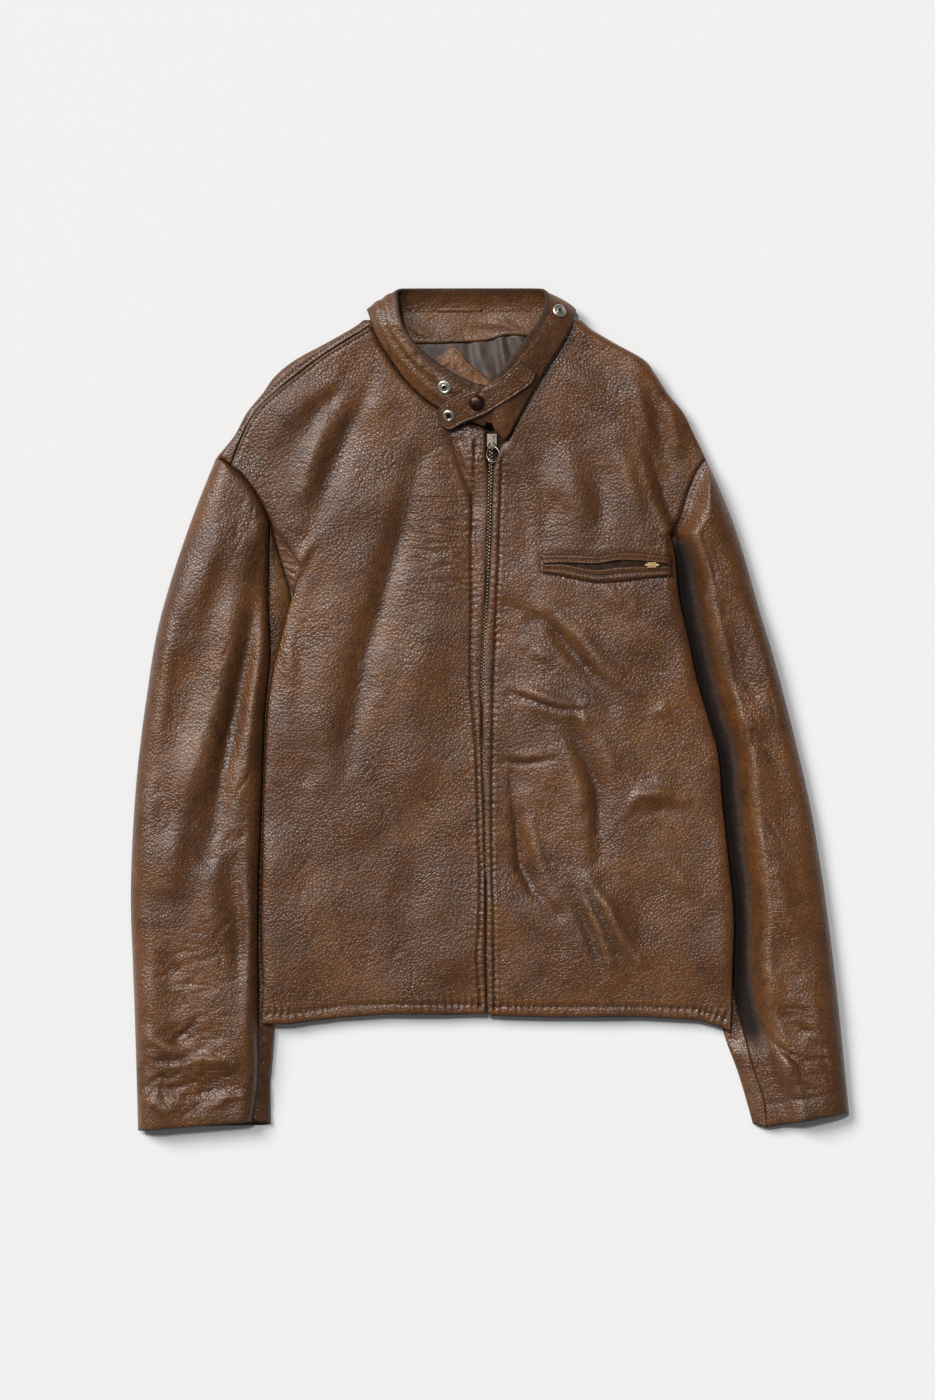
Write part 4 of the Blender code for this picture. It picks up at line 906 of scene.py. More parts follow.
# %% [markdown]
# A two-piece sleeve is a flattened tube: a top sleeve and an undersleeve, sewn together along the
# outer edge and along the front.  The outer seam hides on the edge, while the front one shows as
# a groove.  The top sleeve crowns between them, broken by a long fold from the armhole down to the
# elbow and by short wrinkles that gather at the elbow and above the cuff.
# %% Sleeves
SLEEVE_RIGHT["folds"] = [
    ([(-236, 150), (-243, 118), (-251, 53), (-268, -15), (-286, -66), (-303, -135), (-311, -225)],
     14, 6.0),
    ([(-218, 150), (-226, 90), (-237, 35), (-247, -15), (-256, -60), (-261, -100), (-270, -140)],
     10, -9.0),
    ([(-216, 70), (-226, 15), (-234, -50), (-243, -110)], 8, 3.0),
    ([(-322, -300), (-290, -320), (-262, -308)], 12, -3.0),
    ([(-330, -352), (-290, -366), (-245, -352)], 12, -3.0),
]
SLEEVE_RIGHT["fine"] = [
    ([(-252, 205), (-262, 160), (-278, 110), (-292, 60)], 12, 1.8),
    ([(-300, 110), (-312, 50), (-322, -20)], 14, 1.8),
    ([(-262, -130), (-268, -180), (-262, -240)], 12, 1.8),
    ([(-312, -190), (-306, -240), (-300, -280)], 12, -1.8),
    ([(-246, -150), (-240, -210), (-236, -270)], 9, -1.8),
    ([(-325, -312), (-300, -326), (-280, -318)], 6, 1.8),
    ([(-300, -338), (-272, -332), (-246, -338)], 6, 1.8),
    ([(-335, -372), (-310, -380), (-285, -374)], 6, 1.6),
    ([(-270, -380), (-250, -370), (-236, -372)], 5, 1.4),
    ([(-230, -150), (-230, -220), (-232, -300)], 6, 1.2),
]
SLEEVE_RIGHT["creases"] = (
    strewn(71, (-292, -345), (44, 46), 8, 52, 26, 2.2, -0.9, stray=28)
    + strewn(72, (-275, -250), (40, 60), 20, 30, 24, 2.0, -0.6, stray=30)
    + strewn(73, (-250, -50), (18, 120), 70, 34, 22, 1.8, -0.6, stray=20)
    + strewn(74, (-300, 0), (26, 150), 78, 24, 26, 2.0, -0.45)
    + strewn(75, (-232, 160), (14, 40), 60, 16, 18, 1.6, -0.5)
)
SLEEVE_LEFT["folds"] = [
    ([(184, 181), (190, 160), (197, 139), (205, 98), (212, 58), (222, -15), (236, -84), (242, -130)],
     7, 6.0),
    ([(222, 150), (230, 100), (240, 40), (252, -30)], 16, -3.0),
    ([(250, -262), (275, -295), (312, -318)], 12, -4.0),
    ([(268, -392), (278, -352), (300, -322)], 10, 3.0),
]
SLEEVE_LEFT["fine"] = [
    ([(184, 186), (186, 168), (184, 140), (182, 128)], 4, 2.0),
    ([(256, 120), (268, 60), (280, 0)], 12, 1.8),
    ([(236, -20), (244, -90), (252, -160)], 12, 1.6),
    ([(262, 20), (276, -60), (292, -120)], 12, -1.6),
    ([(270, -130), (284, -190), (300, -240)], 12, 1.6),
    ([(256, -306), (276, -322), (298, -341)], 4, -1.8, 0.4),
    ([(262, -322), (280, -338), (300, -356)], 6, 1.6),
    ([(240, -180), (246, -230), (254, -262)], 8, 1.6),
    ([(300, -262), (312, -292), (322, -330)], 9, 1.4),
]
SLEEVE_LEFT["creases"] = (
    strewn(81, (292, -330), (36, 50), -28, 44, 26, 2.2, -0.8, stray=24)
    + strewn(82, (270, -210), (34, 60), -60, 26, 24, 2.0, -0.5, stray=24)
    + strewn(83, (240, 40), (22, 110), -74, 30, 24, 1.8, -0.5)
    + strewn(84, (205, 150), (16, 40), -70, 18, 18, 1.6, -0.5)
    + strewn(85, (262, -40), (24, 90), -72, 20, 26, 2.0, -0.4)
)


class Sleeve:
    """Outlines and heights of one sleeve; way is +1 where the outer edge is on the -X side."""

    def __init__(self, table):
        self.table, self.way = table, table["way"]
        self.outer, self.inner = edge(table["outer"]), edge(table["inner"])
        self.seam = edge(table["seam"], table["armhole"])
        self.underarm = table["inner"][-1][1]
        self.cuff = table["outer"][0][1], table["seam"][0][1]
        self.top = table["armhole"][-1][1] - 0.6

    def rows(self, count):
        """Each row's y at the outer edge and at the seam; the cuff slants, the rest is level."""
        low = sum(self.cuff) / 2
        y = np.linspace(low, self.top, count)
        slant = (1 - ease(low, low + 45, y)) * (self.cuff[0] - low)
        return y + slant, y - slant

    def tucked(self, y):
        """Share of its height that the front seam keeps where the body lies over it."""
        return 0.28 + 0.72 * (1 - ease(-335, -300, y))

    def height(self, x, y):
        from_outer, from_seam = self.way * (x - self.outer(y)), self.way * (self.seam(y) - x)
        crown = 27.0 - 4.0 * (1 - ease(-400, -300, y)) + folds_at(x, y, self.table["folds"])
        crown = crown + 2.1 * folds_at(x, y, self.table["fine"])
        crown = crown + 1.3 * creases_at(x, y, self.table["creases"])
        crown = crown - (self.way < 0) * 6.0 * ease(10, 90, from_seam)
        crown = crown + hide_texture(x, y, 90 + self.way)
        high = rounded(6.4, crown, from_outer, 22)
        seam_x = self.seam(y)
        low = 11.0 if self.way > 0 else 11.0 * self.tucked(y)
        foot = low + (body_base(seam_x, y) - low) * ease(self.underarm - 5, self.underarm + 25, y)
        if self.way > 0:
            return np.minimum(high, rounded(foot, crown, from_seam, 15))
        start = 3 + 10 * (1 - ease(120, 170, y))
        return np.minimum(high, foot + (crown - foot) * ease(start, start + 24, from_seam))

    def upper(self, name):
        y_outer, y_seam = self.rows(330)
        t = uneven_steps(78, 0.6)
        start, end = self.outer(y_outer), self.seam(y_seam) - 0.2 * self.way
        x, y = rows_between(start, end, t), rows_between(y_outer, y_seam, t)
        z = self.height(x, y)
        from_cuff = y - (self.cuff[0] + (self.cuff[1] - self.cuff[0]) * t)
        z -= 1.2 * bell(from_cuff, 1.6) + 0.8 * bell(from_cuff - 22, 1.6)
        z += 0.5 * bell(from_cuff - 10, 8)
        path = self.table["armhole"]
        z += seam_sink(x, y, path, 1.4, 2.0, 0.4, 91)
        front_seam = [(float(self.seam(v)), v) for v in np.linspace(self.cuff[1], self.underarm, 40)]
        z -= 1.2 * bell(to_path(x, y, front_seam)[0], 1.6)
        edge_and_painted_shadow = 0.8 * bell(from_cuff, 1.4) + 0.7 * bell(to_path(x, y, path)[0], 1.5)
        edge_and_painted_shadow = edge_and_painted_shadow + 0.5 * bell(to_path(x, y, front_seam)[0], 1.2)
        # On the left sleeve a strip beside the body's edge is darkened: a painted shadow of the body on
        # the sleeve, with its roughness raised too
        if self.way < 0:
            from_seam = self.seam(y) - x
            shade = (1 - ease(8, 26, -from_seam)) * ease(-335, -300, y) * (1 - ease(150, 172, y))
            edge_and_painted_shadow = edge_and_painted_shadow + 1.6 * shade
        return sheet_piece(name, np.stack([x, y, z], -1), HIDE_WALL, edge_and_painted_shadow=np.clip(edge_and_painted_shadow, 0, 1.6))

    def under_section(self, y_outer, y_seam):
        way = self.way
        seam, far = float(self.seam(y_seam)) + 0.2 * way, float(self.outer(y_outer))
        if y_seam > self.underarm:
            foot = 10.8 * (1 - float(ease(self.underarm, self.underarm + 25, y_seam))) + 1.4
            reach = abs(seam - far) * 0.3
            strip = [(0, foot - 1.4), (-0.06 * reach, 0.62 * foot), (-0.16 * reach, 0.3 * foot),
                     (-0.3 * reach, 0.1 * foot), (-0.5 * reach, 0), (-0.8 * reach, 0)]
            section = [(seam + way * dx, z) for dx, z in strip]
        else:
            folded = float(self.inner(y_seam))
            width = max(way * (folded - seam), 1.0)
            crest = 10.6 + 2.6 * float(ease(95, 125, y_seam)) * (1 if way > 0 else 0)
            low = 1.0 if way > 0 else float(self.tucked(y_seam))
            section = [(seam, 10.8 * low), (seam + way * width * 0.4, 10.0 * low),
                       (folded - way * 0.12 * width, 0.62 * crest * low), (folded, 4.0 * low),
                       (folded - way * 2.0, 0.9), (folded - way * 7.0, 0.0)]
        bottom = section[-1][0]
        curl = min(14.0, 0.6 * abs(bottom - far))
        foot_of_edge = far + way * curl
        section += [(bottom + (foot_of_edge - bottom) * t, 0.0) for t in (0.33, 0.67, 1.0)]
        section += [(far + way * curl * (1 - math.cos(a)), 6.0 * (1 - math.sin(a)))
                    for a in (1.1, 0.6, 0.0)]
        return section

    def under(self, name):
        y_outer, y_seam = self.rows(260)
        rows = [subdivided(self.under_section(a, b), 5) for a, b in zip(y_outer, y_seam)]
        x, z = np.array([r[0] for r in rows]), np.array([r[1] for r in rows])
        t = np.linspace(0, 1, x.shape[1])
        y = rows_between(y_seam, y_outer, t)
        lifted = ease(1.0, 5.0, z) * np.sin(np.pi * np.clip(t * 6, 0, 0.5))
        creases = strewn(95, (self.way * -205, -330), (30, 70), 10, 40, 22, 2.6, -0.9, stray=30)
        z = z + lifted * (1.6 * creases_at(x, y, creases) + 0.7 * hide_texture(x, y, 96))
        z = np.maximum(z, 0.0)
        from_cuff = (y_outer - y_outer[0])[:, None] * np.ones(x.shape)
        return sheet_piece(name, np.stack([x, y, z], -1), HIDE_WALL, upwards=False,
                           relief=0.4 * hide_texture(x, y, 97), edge_and_painted_shadow=0.8 * bell(from_cuff, 1.5))


for side, sleeve in (("right", Sleeve(SLEEVE_RIGHT)), ("left", Sleeve(SLEEVE_LEFT))):
    finish_piece(sleeve.upper(f"sleeve_{side}_top"), [f"sleeve_{side}_upper"], HIDE)
    finish_piece(sleeve.under(f"sleeve_{side}_below"), [f"sleeve_{side}_under"], HIDE)
    print("sleeve", side, len(JACKET[f"sleeve_{side}_top"].data.polygons), "faces on top")

# %% [markdown]
# ## Collar and neck
#
# The band collar is two layers of leather sewn together and turned, so it is built as a closed
# section swept round the neck: an outer face, a rolled top edge and an inner face.  The roll
# is a little thicker, and its dye is worn dark.  Two long ridges run along the right front.
# %% The band
COLLAR = [
    ((-4, 271, 22.5), (0, 309, 31)), ((-28, 279, 23), (-14, 311, 32)),
    ((-55, 293, 23.5), (-34, 320, 33)), ((-77, 312.5, 23.5), (-53, 333, 33)),
    ((-93.5, 334, 23), (-69, 346, 33)), ((-104, 351, 22.5), (-80, 361, 32)),
    ((-111.5, 367, 20.5), (-86, 376, 30)), ((-115, 378, 17), (-88, 390, 26)),
    ((-117, 383, 10.5), (-89, 398, 19)), ((-112, 383, 5), (-86, 402, 13)),
    ((-100, 381, 3.2), (-78, 403, 10)), ((-60, 379.5, 2.8), (-50, 403, 9)),
    ((-20, 379, 2.8), (-18, 403, 9)), ((20, 379.5, 2.8), (15, 403, 9)),
    ((60, 381, 3.2), (42, 403, 10)), ((76, 384, 5), (50, 402, 13)),
    ((82, 383.5, 11), (54, 397, 19)), ((81, 377.5, 18), (54, 389, 26)),
    ((76, 364, 22.5), (51, 378, 31)), ((66.5, 347, 24), (46, 369, 33)),
    ((53, 325, 24.5), (36, 355, 34)), ((40, 302.5, 24), (23, 339, 34)),
    ((28.5, 282, 23), (10, 322, 33)), ((16.5, 259.5, 22), (3, 312, 32.5)),
    ((10, 263, 21.5), (0.5, 310, 32.5)), ((4, 270, 21), (-1.0, 308, 32.5)),
]


def collar_band():
    stations = along_curve([seam + top for seam, top in COLLAR], 330)
    run = run_along(stations[:, :3])
    face = np.linspace(0, 1, 17)
    ridges = 1.3 * bell(face - 0.33, 0.10) + 1.1 * bell(face - 0.66, 0.09)
    ridges = ridges - 0.6 * bell(face - 0.5, 0.07)
    bow = 1.4 * np.sin(np.pi * face)
    stitched, rolled = 0.5 * bell(face - 0.84, 0.035), 0.6 * bell(face - 0.97, 0.05)
    rim = bell(face - 1.0, 0.07) + 0.5 * bell(face, 0.05) + 0.35 * bell(face - 0.84, 0.03)
    rim = np.clip(rim, 0, 1)
    points, relief, edge_and_painted_shadow = [], [], []
    for i, station in enumerate(stations):
        seam, top = station[:3], station[3:]
        before, after = stations[max(i - 1, 0)], stations[min(i + 1, len(stations) - 1)]
        along = (after[:3] + after[3:]) - (before[:3] + before[3:])
        rise = top - seam
        out = np.cross(rise, along)
        out /= np.linalg.norm(out)
        share = i / (len(stations) - 1)
        s = np.full(face.shape, run[i])
        on_right = float(ease(0.0, 0.06, share) * (1 - ease(0.30, 0.42, share)))
        skin = 0.7 * ripple(s, face * 30, 14, 5) + 0.35 * ripple(s, face * 30, 6, 6)
        swell = bow + on_right * ridges * (0.8 + 0.2 * ripple(s, face * 3, 30, 7)) + skin
        swell = swell - stitched + rolled
        inside = bow - 0.5 * skin - stitched - rolled
        outer = seam + face[:, None] * rise + out * (swell + 1.2)[:, None]
        inner = seam + face[:, None] * rise + out * (inside - 1.2)[:, None]
        lip = top + rise / np.linalg.norm(rise)
        points.append(np.concatenate([outer, [lip + out * 0.9, lip - out * 0.9], inner[::-1]]))
        tone = 0.9 * (on_right * ridges + skin)
        relief.append(np.concatenate([tone, [0, 0], -tone[::-1] * 0.5]))
        edge_and_painted_shadow.append(np.concatenate([rim, [1, 1], rim[::-1]]))
    piece = grid_mesh("collar_band", np.array(points), np.clip(np.array(relief), -1, 1),
                      np.array(edge_and_painted_shadow) * 0.9, closed=True)
    select_only(piece)
    bpy.ops.object.mode_set(mode="EDIT")
    bpy.ops.mesh.select_all(action="DESELECT")
    bpy.ops.mesh.select_non_manifold()
    bpy.ops.mesh.fill()
    bpy.ops.mesh.select_all(action="SELECT")
    bpy.ops.mesh.normals_make_consistent(inside=False)
    bpy.ops.object.mode_set(mode="OBJECT")
    return piece


finish_piece(collar_band(), ["collar"], HIDE)
print("collar", len(JACKET["collar_band"].data.polygons), "faces")

# %% [markdown]
# Inside the neck a leather facing covers the top of the lining, with a hanger loop at the seam.
# The satin lining hangs in pleats from it.  A patch of scuffed leather is sewn on with ragged
# stitches, where an older label or tear was covered.
# %% Facing, lining, patch and loop
FACING_LOWER = [(-100, 350), (-82, 351), (-38, 352), (0, 355), (16, 359), (29, 359), (66, 354)]
PATCH_TOP = [(-58, 333), (-47, 341), (-35, 348), (-29, 345), (-20, 333), (5, 313)]
PATCH_BOTTOM = [(-62, 318), (-50, 312), (-38, 307), (-28, 304), (-16, 301), (0, 299)]


def facing_edge(x):
    xs, ys = zip(*FACING_LOWER)
    return hermite(xs, ys, x)


def lining_height(x, y):
    pleats = (1.5 * np.sin((x + 0.35 * (y - 300)) / 3.6 + 1.4 * ripple(x, y, 16, 12, 3))
              * ease(-45, -5, x) + 0.8 * np.sin(x / 13))
    return 5.0 + pleats + 0.4 * ripple(x, y, 6, 13, 3)


def neck_facing():
    t, x = np.meshgrid(np.linspace(0, 1, 36), np.linspace(-100, 66, 120), indexing="ij")
    low = facing_edge(x)
    y = low + (381.5 - low) * t
    z = 4.4 + np.maximum(1.2 * np.sin(x / 16.0) + 1.6 * (1 - t), 0.0)
    z += 1.1 * folds_at(x, y, [([(-80, 372), (-66, 362), (-50, 356)], 4, 1.4),
                               ([(-6, 372), (14, 370), (34, 360)], 4, 1.8),
                               ([(-22, 366), (0, 362), (10, 356)], 5, -1.2),
                               ([(-44, 368), (-36, 360), (-30, 354)], 5, 1.2)])
    z += 0.7 * hide_texture(x, y, 120) - 0.6 * bell(y - low, 1.0) + 0.4 * bell(y - low - 2.2, 1.4)
    edge_and_painted_shadow = 0.5 * bell(y - low, 0.7)
    return sheet_piece("neck_facing_piece", np.stack([x, y, z], -1), 1.1, edge_and_painted_shadow=edge_and_painted_shadow)


def lining():
    t, x = np.meshgrid(np.linspace(0, 1, 50), np.linspace(-92, 58, 170), indexing="ij")
    y = 290.0 + (facing_edge(x) - 0.4 - 290.0) * t
    return sheet_piece("lining_piece", np.stack([x, y, lining_height(x, y)], -1), CLOTH_WALL)


def lining_patch():
    over, below = along_curve(PATCH_TOP, 70), along_curve(PATCH_BOTTOM, 70)
    t = np.linspace(0, 1, 40)[:, None]
    x, y = grid_between(below, over, t)
    ragged = ease(0.85, 1.0, t) * ripple(x, y, 3.0, 15)
    y = y + 1.4 * ragged
    z = 8.2 + 1.6 * np.sin(np.pi * t) + 0.8 * ripple(x, y, 12, 16)
    z = z + 0.5 * ripple(x, y, 4, 17) - 0.8 * ease(0.86, 1, t)
    edge_and_painted_shadow = 0.6 * ease(0.9, 1.0, t) * np.ones(x.shape)
    return sheet_piece("patch_piece", np.stack([x, y, z], -1), 1.0, edge_and_painted_shadow=edge_and_painted_shadow)


def tree_of(*pieces):
    """Ray-cast tree over finished pieces, in metres."""
    points, faces = [], []
    for piece in pieces:
        start = len(points)
        points += [v.co.copy() for v in piece.data.vertices]
        faces += [[start + i for i in face.vertices] for face in piece.data.polygons]
    return BVHTree.FromPolygons(points, faces)


def top_at(tree, x, y, default=0.0):
    """Height in mm of the highest surface under (x, y), and its normal."""
    hit, normal, _, _ = tree.ray_cast(Vector((x * MM, y * MM, 0.2)), Vector((0, 0, -1)))
    return (default, Vector((0, 0, 1))) if hit is None else (hit.z / MM, normal)


def heights_of(tree, x, y):
    return np.array([[top_at(tree, a, b)[0] for a, b in zip(*row)] for row in zip(x, y)])


def hanger_loop():
    tree = tree_of(JACKET["collar_band"], JACKET["neck_facing_piece"])
    low, high = 381.6, 385.6
    t, y = np.meshgrid(np.linspace(0, 1, 60), np.linspace(low, high, 9))
    x = -50.0 + 42.0 * t
    z = blurred(heights_of(tree, x, y), 6) + 1.4 + 1.3 * np.sin(np.pi * t)
    z = z - 0.5 * bell(np.minimum(y - low, high - y), 0.8)
    return sheet_piece("loop_piece", np.stack([x, y, z], -1), 0.9)


finish_piece(neck_facing(), ["neck_facing"], INNER_HIDE)
finish_piece(lining(), ["lining"], SATIN)
finish_piece(lining_patch(), ["lining_patch"], WORN_HIDE)
finish_piece(hanger_loop(), ["hanger_loop"], INNER_HIDE)

# %% [markdown]
# The tab is a strap of doubled leather, box-stitched to the left collar and snapped to the right.
# Its height comes from the CAD strap: a ray is dropped on it for each of the points, and the result
# is smoothed, because stiff leather bridges small hollows.
# %% Collar tab
TAB_LENGTH = 110
TAB_UPPER = [(29, 335), (19, 325), (9, 317), (-5, 309.5), (-24, 304), (-35, 299), (-46, 291),
             (-50.5, 285)]
TAB_LOWER = [(45, 321), (41, 312), (31, 304), (16, 294), (-4, 282), (-24, 274), (-38, 267.5),
             (-48.5, 273)]


def collar_tab():
    tree = tree_of(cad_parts["collar_tab"])
    over, below = along_curve(TAB_UPPER, 120), along_curve(TAB_LOWER, 120)
    t = np.linspace(0, 1, 36)[:, None]
    x, y = grid_between(below, over, t)
    heights = heights_of(tree, *grid_between(below, over, 0.04 + 0.92 * t))
    heights[:, 0], heights[:, -1] = heights[:, 1], heights[:, -2]
    heights = np.where(heights < 10, np.median(heights), heights)
    z = blurred(heights, 30)
    width = np.hypot(*(over - below).T)[None, :]
    from_edge = np.minimum(t, 1 - t) * width
    along = np.linspace(0, TAB_LENGTH, 120)[None, :]
    from_end = np.minimum(along, TAB_LENGTH - along)
    near = np.minimum(from_edge, from_end)
    z = z + 0.3 - 1.5 * bell(near, 1.0) - 0.5 * bell(near - 3.0, 0.8) + 0.35 * bell(near - 1.6, 0.8)
    creases = strewn(141, (0, 300), (40, 18), 60, 18, 14, 1.4, -0.5, stray=25)
    z = z + 0.6 * hide_texture(x, y, 140) + creases_at(x, y, creases)
    return sheet_piece("tab_strap", np.stack([x, y, z], -1), 1.9, edge_and_painted_shadow=0.95 * bell(near, 1.3))


finish_piece(collar_tab(), ["collar_tab"], HIDE)

# %% [markdown]
# The pocket mouth is two welts, narrow folded strips, with a zip between them.  They lie on the
# front, so their height is that of the front under them, smoothed and moved up.
# %% Pocket
POCKET_SLIT = [(51, 139.5), (71, 140), (101, 137), (127, 140), (164, 139), (174, 137)]
POCKET_OPEN = [0.3, 0.6, 2.6, 2.9, 1.6, 0.3]


def welt(name, inner_edge, outer_edge, seed):
    tree = tree_of(JACKET["front_left_panel"])
    t = np.linspace(0, 1, 26)[:, None]
    x, y = grid_between(inner_edge, outer_edge, t)
    z = blurred(heights_of(tree, x, y), 10) + 2.7
    z = z + 0.9 * bell(t - 0.12, 0.16) - 1.2 * bell(t, 0.05) - 0.7 * bell(t - 0.45, 0.06)
    z = z + 0.5 * bell(t - 0.68, 0.12) - 1.8 * ease(0.82, 1.0, t) + 0.45 * hide_texture(x, y, seed)
    s = np.linspace(0, 1, inner_edge.shape[0])[None, :]
    z = z - 1.6 * (bell(s, 0.012) + bell(1 - s, 0.012))
    edge_and_painted_shadow = 0.9 * bell(t, 0.06) + 0.8 * bell(t - 1, 0.05) + 0.5 * bell(t - 0.45, 0.05)
    edge_and_painted_shadow = np.clip(edge_and_painted_shadow, 0, 1) * np.ones(x.shape)
    return sheet_piece(name, np.stack([x, y, z], -1), 1.1, edge_and_painted_shadow=edge_and_painted_shadow)


def pocket_tape():
    tree = tree_of(JACKET["front_left_panel"])
    slit = along_curve(POCKET_SLIT, 90)[2:-2]
    t = np.linspace(-4.5, 4.5, 12)[:, None]
    x, y = slit[:, 0] + 0 * t, slit[:, 1] + t
    z = blurred(heights_of(tree, x, y), 10) + 1.2
    return sheet_piece("pocket_tape_piece", np.stack([x, y, z], -1), CLOTH_WALL)


slit = along_curve([(x, y, o) for (x, y), o in zip(POCKET_SLIT, POCKET_OPEN)], 150)
over, below = along_curve(POCKET_TOP, 150), along_curve(POCKET_BOTTOM, 150)
half = slit[:, 2:] * [[0.0, 1.0]]
for name, lip, frame_edge, seed, node_name in (
        ("welt_above", slit[:, :2] + half, over, 150, "pocket_welt_upper"),
        ("welt_below", slit[:, :2] - half, below, 151, "pocket_welt_lower")):
    finish_piece(welt(name, lip, frame_edge, seed), [node_name], HIDE)
finish_piece(pocket_tape(), ["pocket_zip_tape"], TAPE)
print("pocket is", round(float(slit[-1, 0] - slit[0, 0])), "mm wide")

# %% [markdown]
# ## Zip
#
# Two woven tapes run under the leather.  Each carries a column of metal teeth: one tooth is a block
# with rounded edges, copied up the tape at its pitch, with the other column half a pitch higher.
# %% Tapes and teeth
TAPE_DROP = 2.8
TOOTH_PITCH = 3.2


def zip_tape(name, way):
    ys = np.linspace(-287, 268, 260)
    middle = zip_x(np.minimum(ys, 262))
    inner_edge = 0.25 + 2.0 * ease(250, 268, ys)
    x = middle[:, None] + way * (inner_edge[:, None] + 11.7 * np.linspace(0, 1, 9))
    y = np.broadcast_to(ys[:, None], x.shape)
    z = body_base(x, y) - TAPE_DROP
    return sheet_piece(name, np.stack([x, y, z], -1), CLOTH_WALL)


def one_tooth():
    """Points and faces of a zip tooth, a small block with rounded edges."""
    bpy.ops.object.select_all(action="DESELECT")
    bpy.ops.mesh.primitive_cube_add(size=1, location=(0, 0, 0))
    tooth = bpy.context.object
    tooth.name = "tooth_pattern"
    bpy.ops.object.mode_set(mode="EDIT")
    bpy.ops.mesh.select_all(action="SELECT")
    bpy.ops.transform.resize(value=(1.75 * MM, 1.3 * MM, 1.7 * MM))
    bpy.ops.mesh.bevel(offset=0.4 * MM, segments=2)
    bpy.ops.object.mode_set(mode="OBJECT")
    points = np.array([v.co for v in tooth.data.vertices])
    faces = [list(face.vertices) for face in tooth.data.polygons]
    bpy.data.objects.remove(tooth, do_unlink=True)
    return points / MM, faces


def copies(name, points, faces, places, finish):
    """One mesh of many copies of a small shape; a place is an origin and its three axes, in mm."""
    corners, polygons = [], []
    for number, (origin, axes) in enumerate(places):
        start = number * len(points)
        corners.append(points @ np.array(axes) + np.array(origin))
        polygons += [[start + i for i in face] for face in faces]
    mesh = bpy.data.meshes.new(name)
    mesh.from_pydata((np.concatenate(corners) * MM).tolist(), [], polygons)
    mesh.shade_smooth()
    mesh.materials.append(finish)
    piece = bpy.data.objects.new(name, mesh)
    bpy.context.scene.collection.objects.link(piece)
    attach(piece, BODY)
    return piece


def teeth(name, way, low, high):
    """A column of teeth on the zip side of one tape."""
    points, faces = one_tooth()
    places = []
    for y in np.arange(low, high, TOOTH_PITCH):
        x = float(zip_x(np.array(y)))
        z = float(body_base(np.array([x]), np.array([y]))[0]) - TAPE_DROP + 0.75
        places.append(((x + way * 0.95, y, z), np.eye(3)))
    return copies(name, points, faces, places, TOOTH)


for side, way in (("right", -1), ("left", 1)):
    finish_piece(zip_tape(f"tape_{side}", way), [f"zip_tape_{side}"], TAPE)
for side, way, shift in (("right", -1, 0.0), ("left", 1, TOOTH_PITCH / 2)):
    column = teeth(f"teeth_{side}", way, -284 + shift, 252)
    print("teeth", side, len(column.data.vertices), "vertices")

# %% [markdown]
# The slider, its pull and the pocket's slider keep their CAD shapes, which are right, and get metal
# that has been handled.
# %% Fittings that stay
for node_name, finish in (("zip_slider", OLD_NICKEL), ("zip_pull_eye", OLD_NICKEL),
                          ("zip_pull_ring", OLD_NICKEL), ("pocket_slider", BRASS)):
    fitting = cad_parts[node_name]
    for slot_of_piece in fitting.material_slots:
        slot_of_piece.material = finish

# %% [markdown]
# Snaps are turned parts.  Each starts as a short cylinder; its top face is inset and raised or
# lowered, step by step, as a lathe would cut it, and a bevel rounds the rims.  Then it is put
# where its CAD solid stands, turned the same way.
# %% Snap fasteners
DISC_FOOT = 0.7


def turned_disc(name, radius, steps, finish, shaded_hollow):
    """A stepped disc: steps are (inset, rise) in mm from the rim to the middle."""
    bpy.ops.object.select_all(action="DESELECT")
    bpy.ops.mesh.primitive_cylinder_add(vertices=40, radius=radius * MM, depth=DISC_FOOT * MM,
                                        end_fill_type="NGON", location=(0, 0, DISC_FOOT / 2 * MM))
    disc = bpy.context.object
    disc.name = name
    disc.data.transform(Matrix.Translation(disc.location))
    disc.location = (0, 0, 0)
    bpy.ops.object.mode_set(mode="EDIT")
    bpy.ops.mesh.select_all(action="DESELECT")
    bpy.ops.object.mode_set(mode="OBJECT")
    top = max(disc.data.polygons, key=lambda face: face.center.z)
    top.select = True
    bpy.ops.object.mode_set(mode="EDIT")
    bpy.ops.mesh.select_mode(type="FACE")
    for inset, rise in steps:
        bpy.ops.mesh.inset(thickness=inset * MM, depth=0)
        if rise:
            bpy.ops.transform.translate(value=(0, 0, rise * MM))
    bpy.ops.object.mode_set(mode="OBJECT")
    disc.data.materials.clear()
    disc.data.materials.append(finish)
    disc.data.materials.append(DARK_METAL)
    # Upward faces inside the hollow take the dark plate: painted shade at the bottom of the recess
    for face in disc.data.polygons:
        if shaded_hollow and face.normal.z > 0.5 and math.hypot(*face.center[:2]) < shaded_hollow * MM:
            face.material_index = 1
    rims = disc.modifiers.new("rims", "BEVEL")
    rims.width, rims.segments, rims.limit_method = 0.15 * MM, 2, "ANGLE"
    rims.angle_limit = math.radians(25)
    apply_modifiers(disc)
    bpy.ops.object.shade_smooth_by_angle(angle=math.radians(50))
    return disc


def stand_on(disc, node_name):
    """Move a disc to where its CAD solid stands, turned the same way."""
    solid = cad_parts[node_name].data
    points = np.array([v.co for v in solid.vertices])
    middle = points.mean(axis=0)
    normal = np.linalg.svd(points - middle)[2][2]
    normal = normal * np.sign(normal[2])
    foot = middle + normal * ((points - middle) @ normal).min()
    turn = Vector(normal).to_track_quat("Z", "Y").to_matrix().to_4x4()
    disc.data.transform(Matrix.Translation(Vector(foot)) @ turn)
    return disc


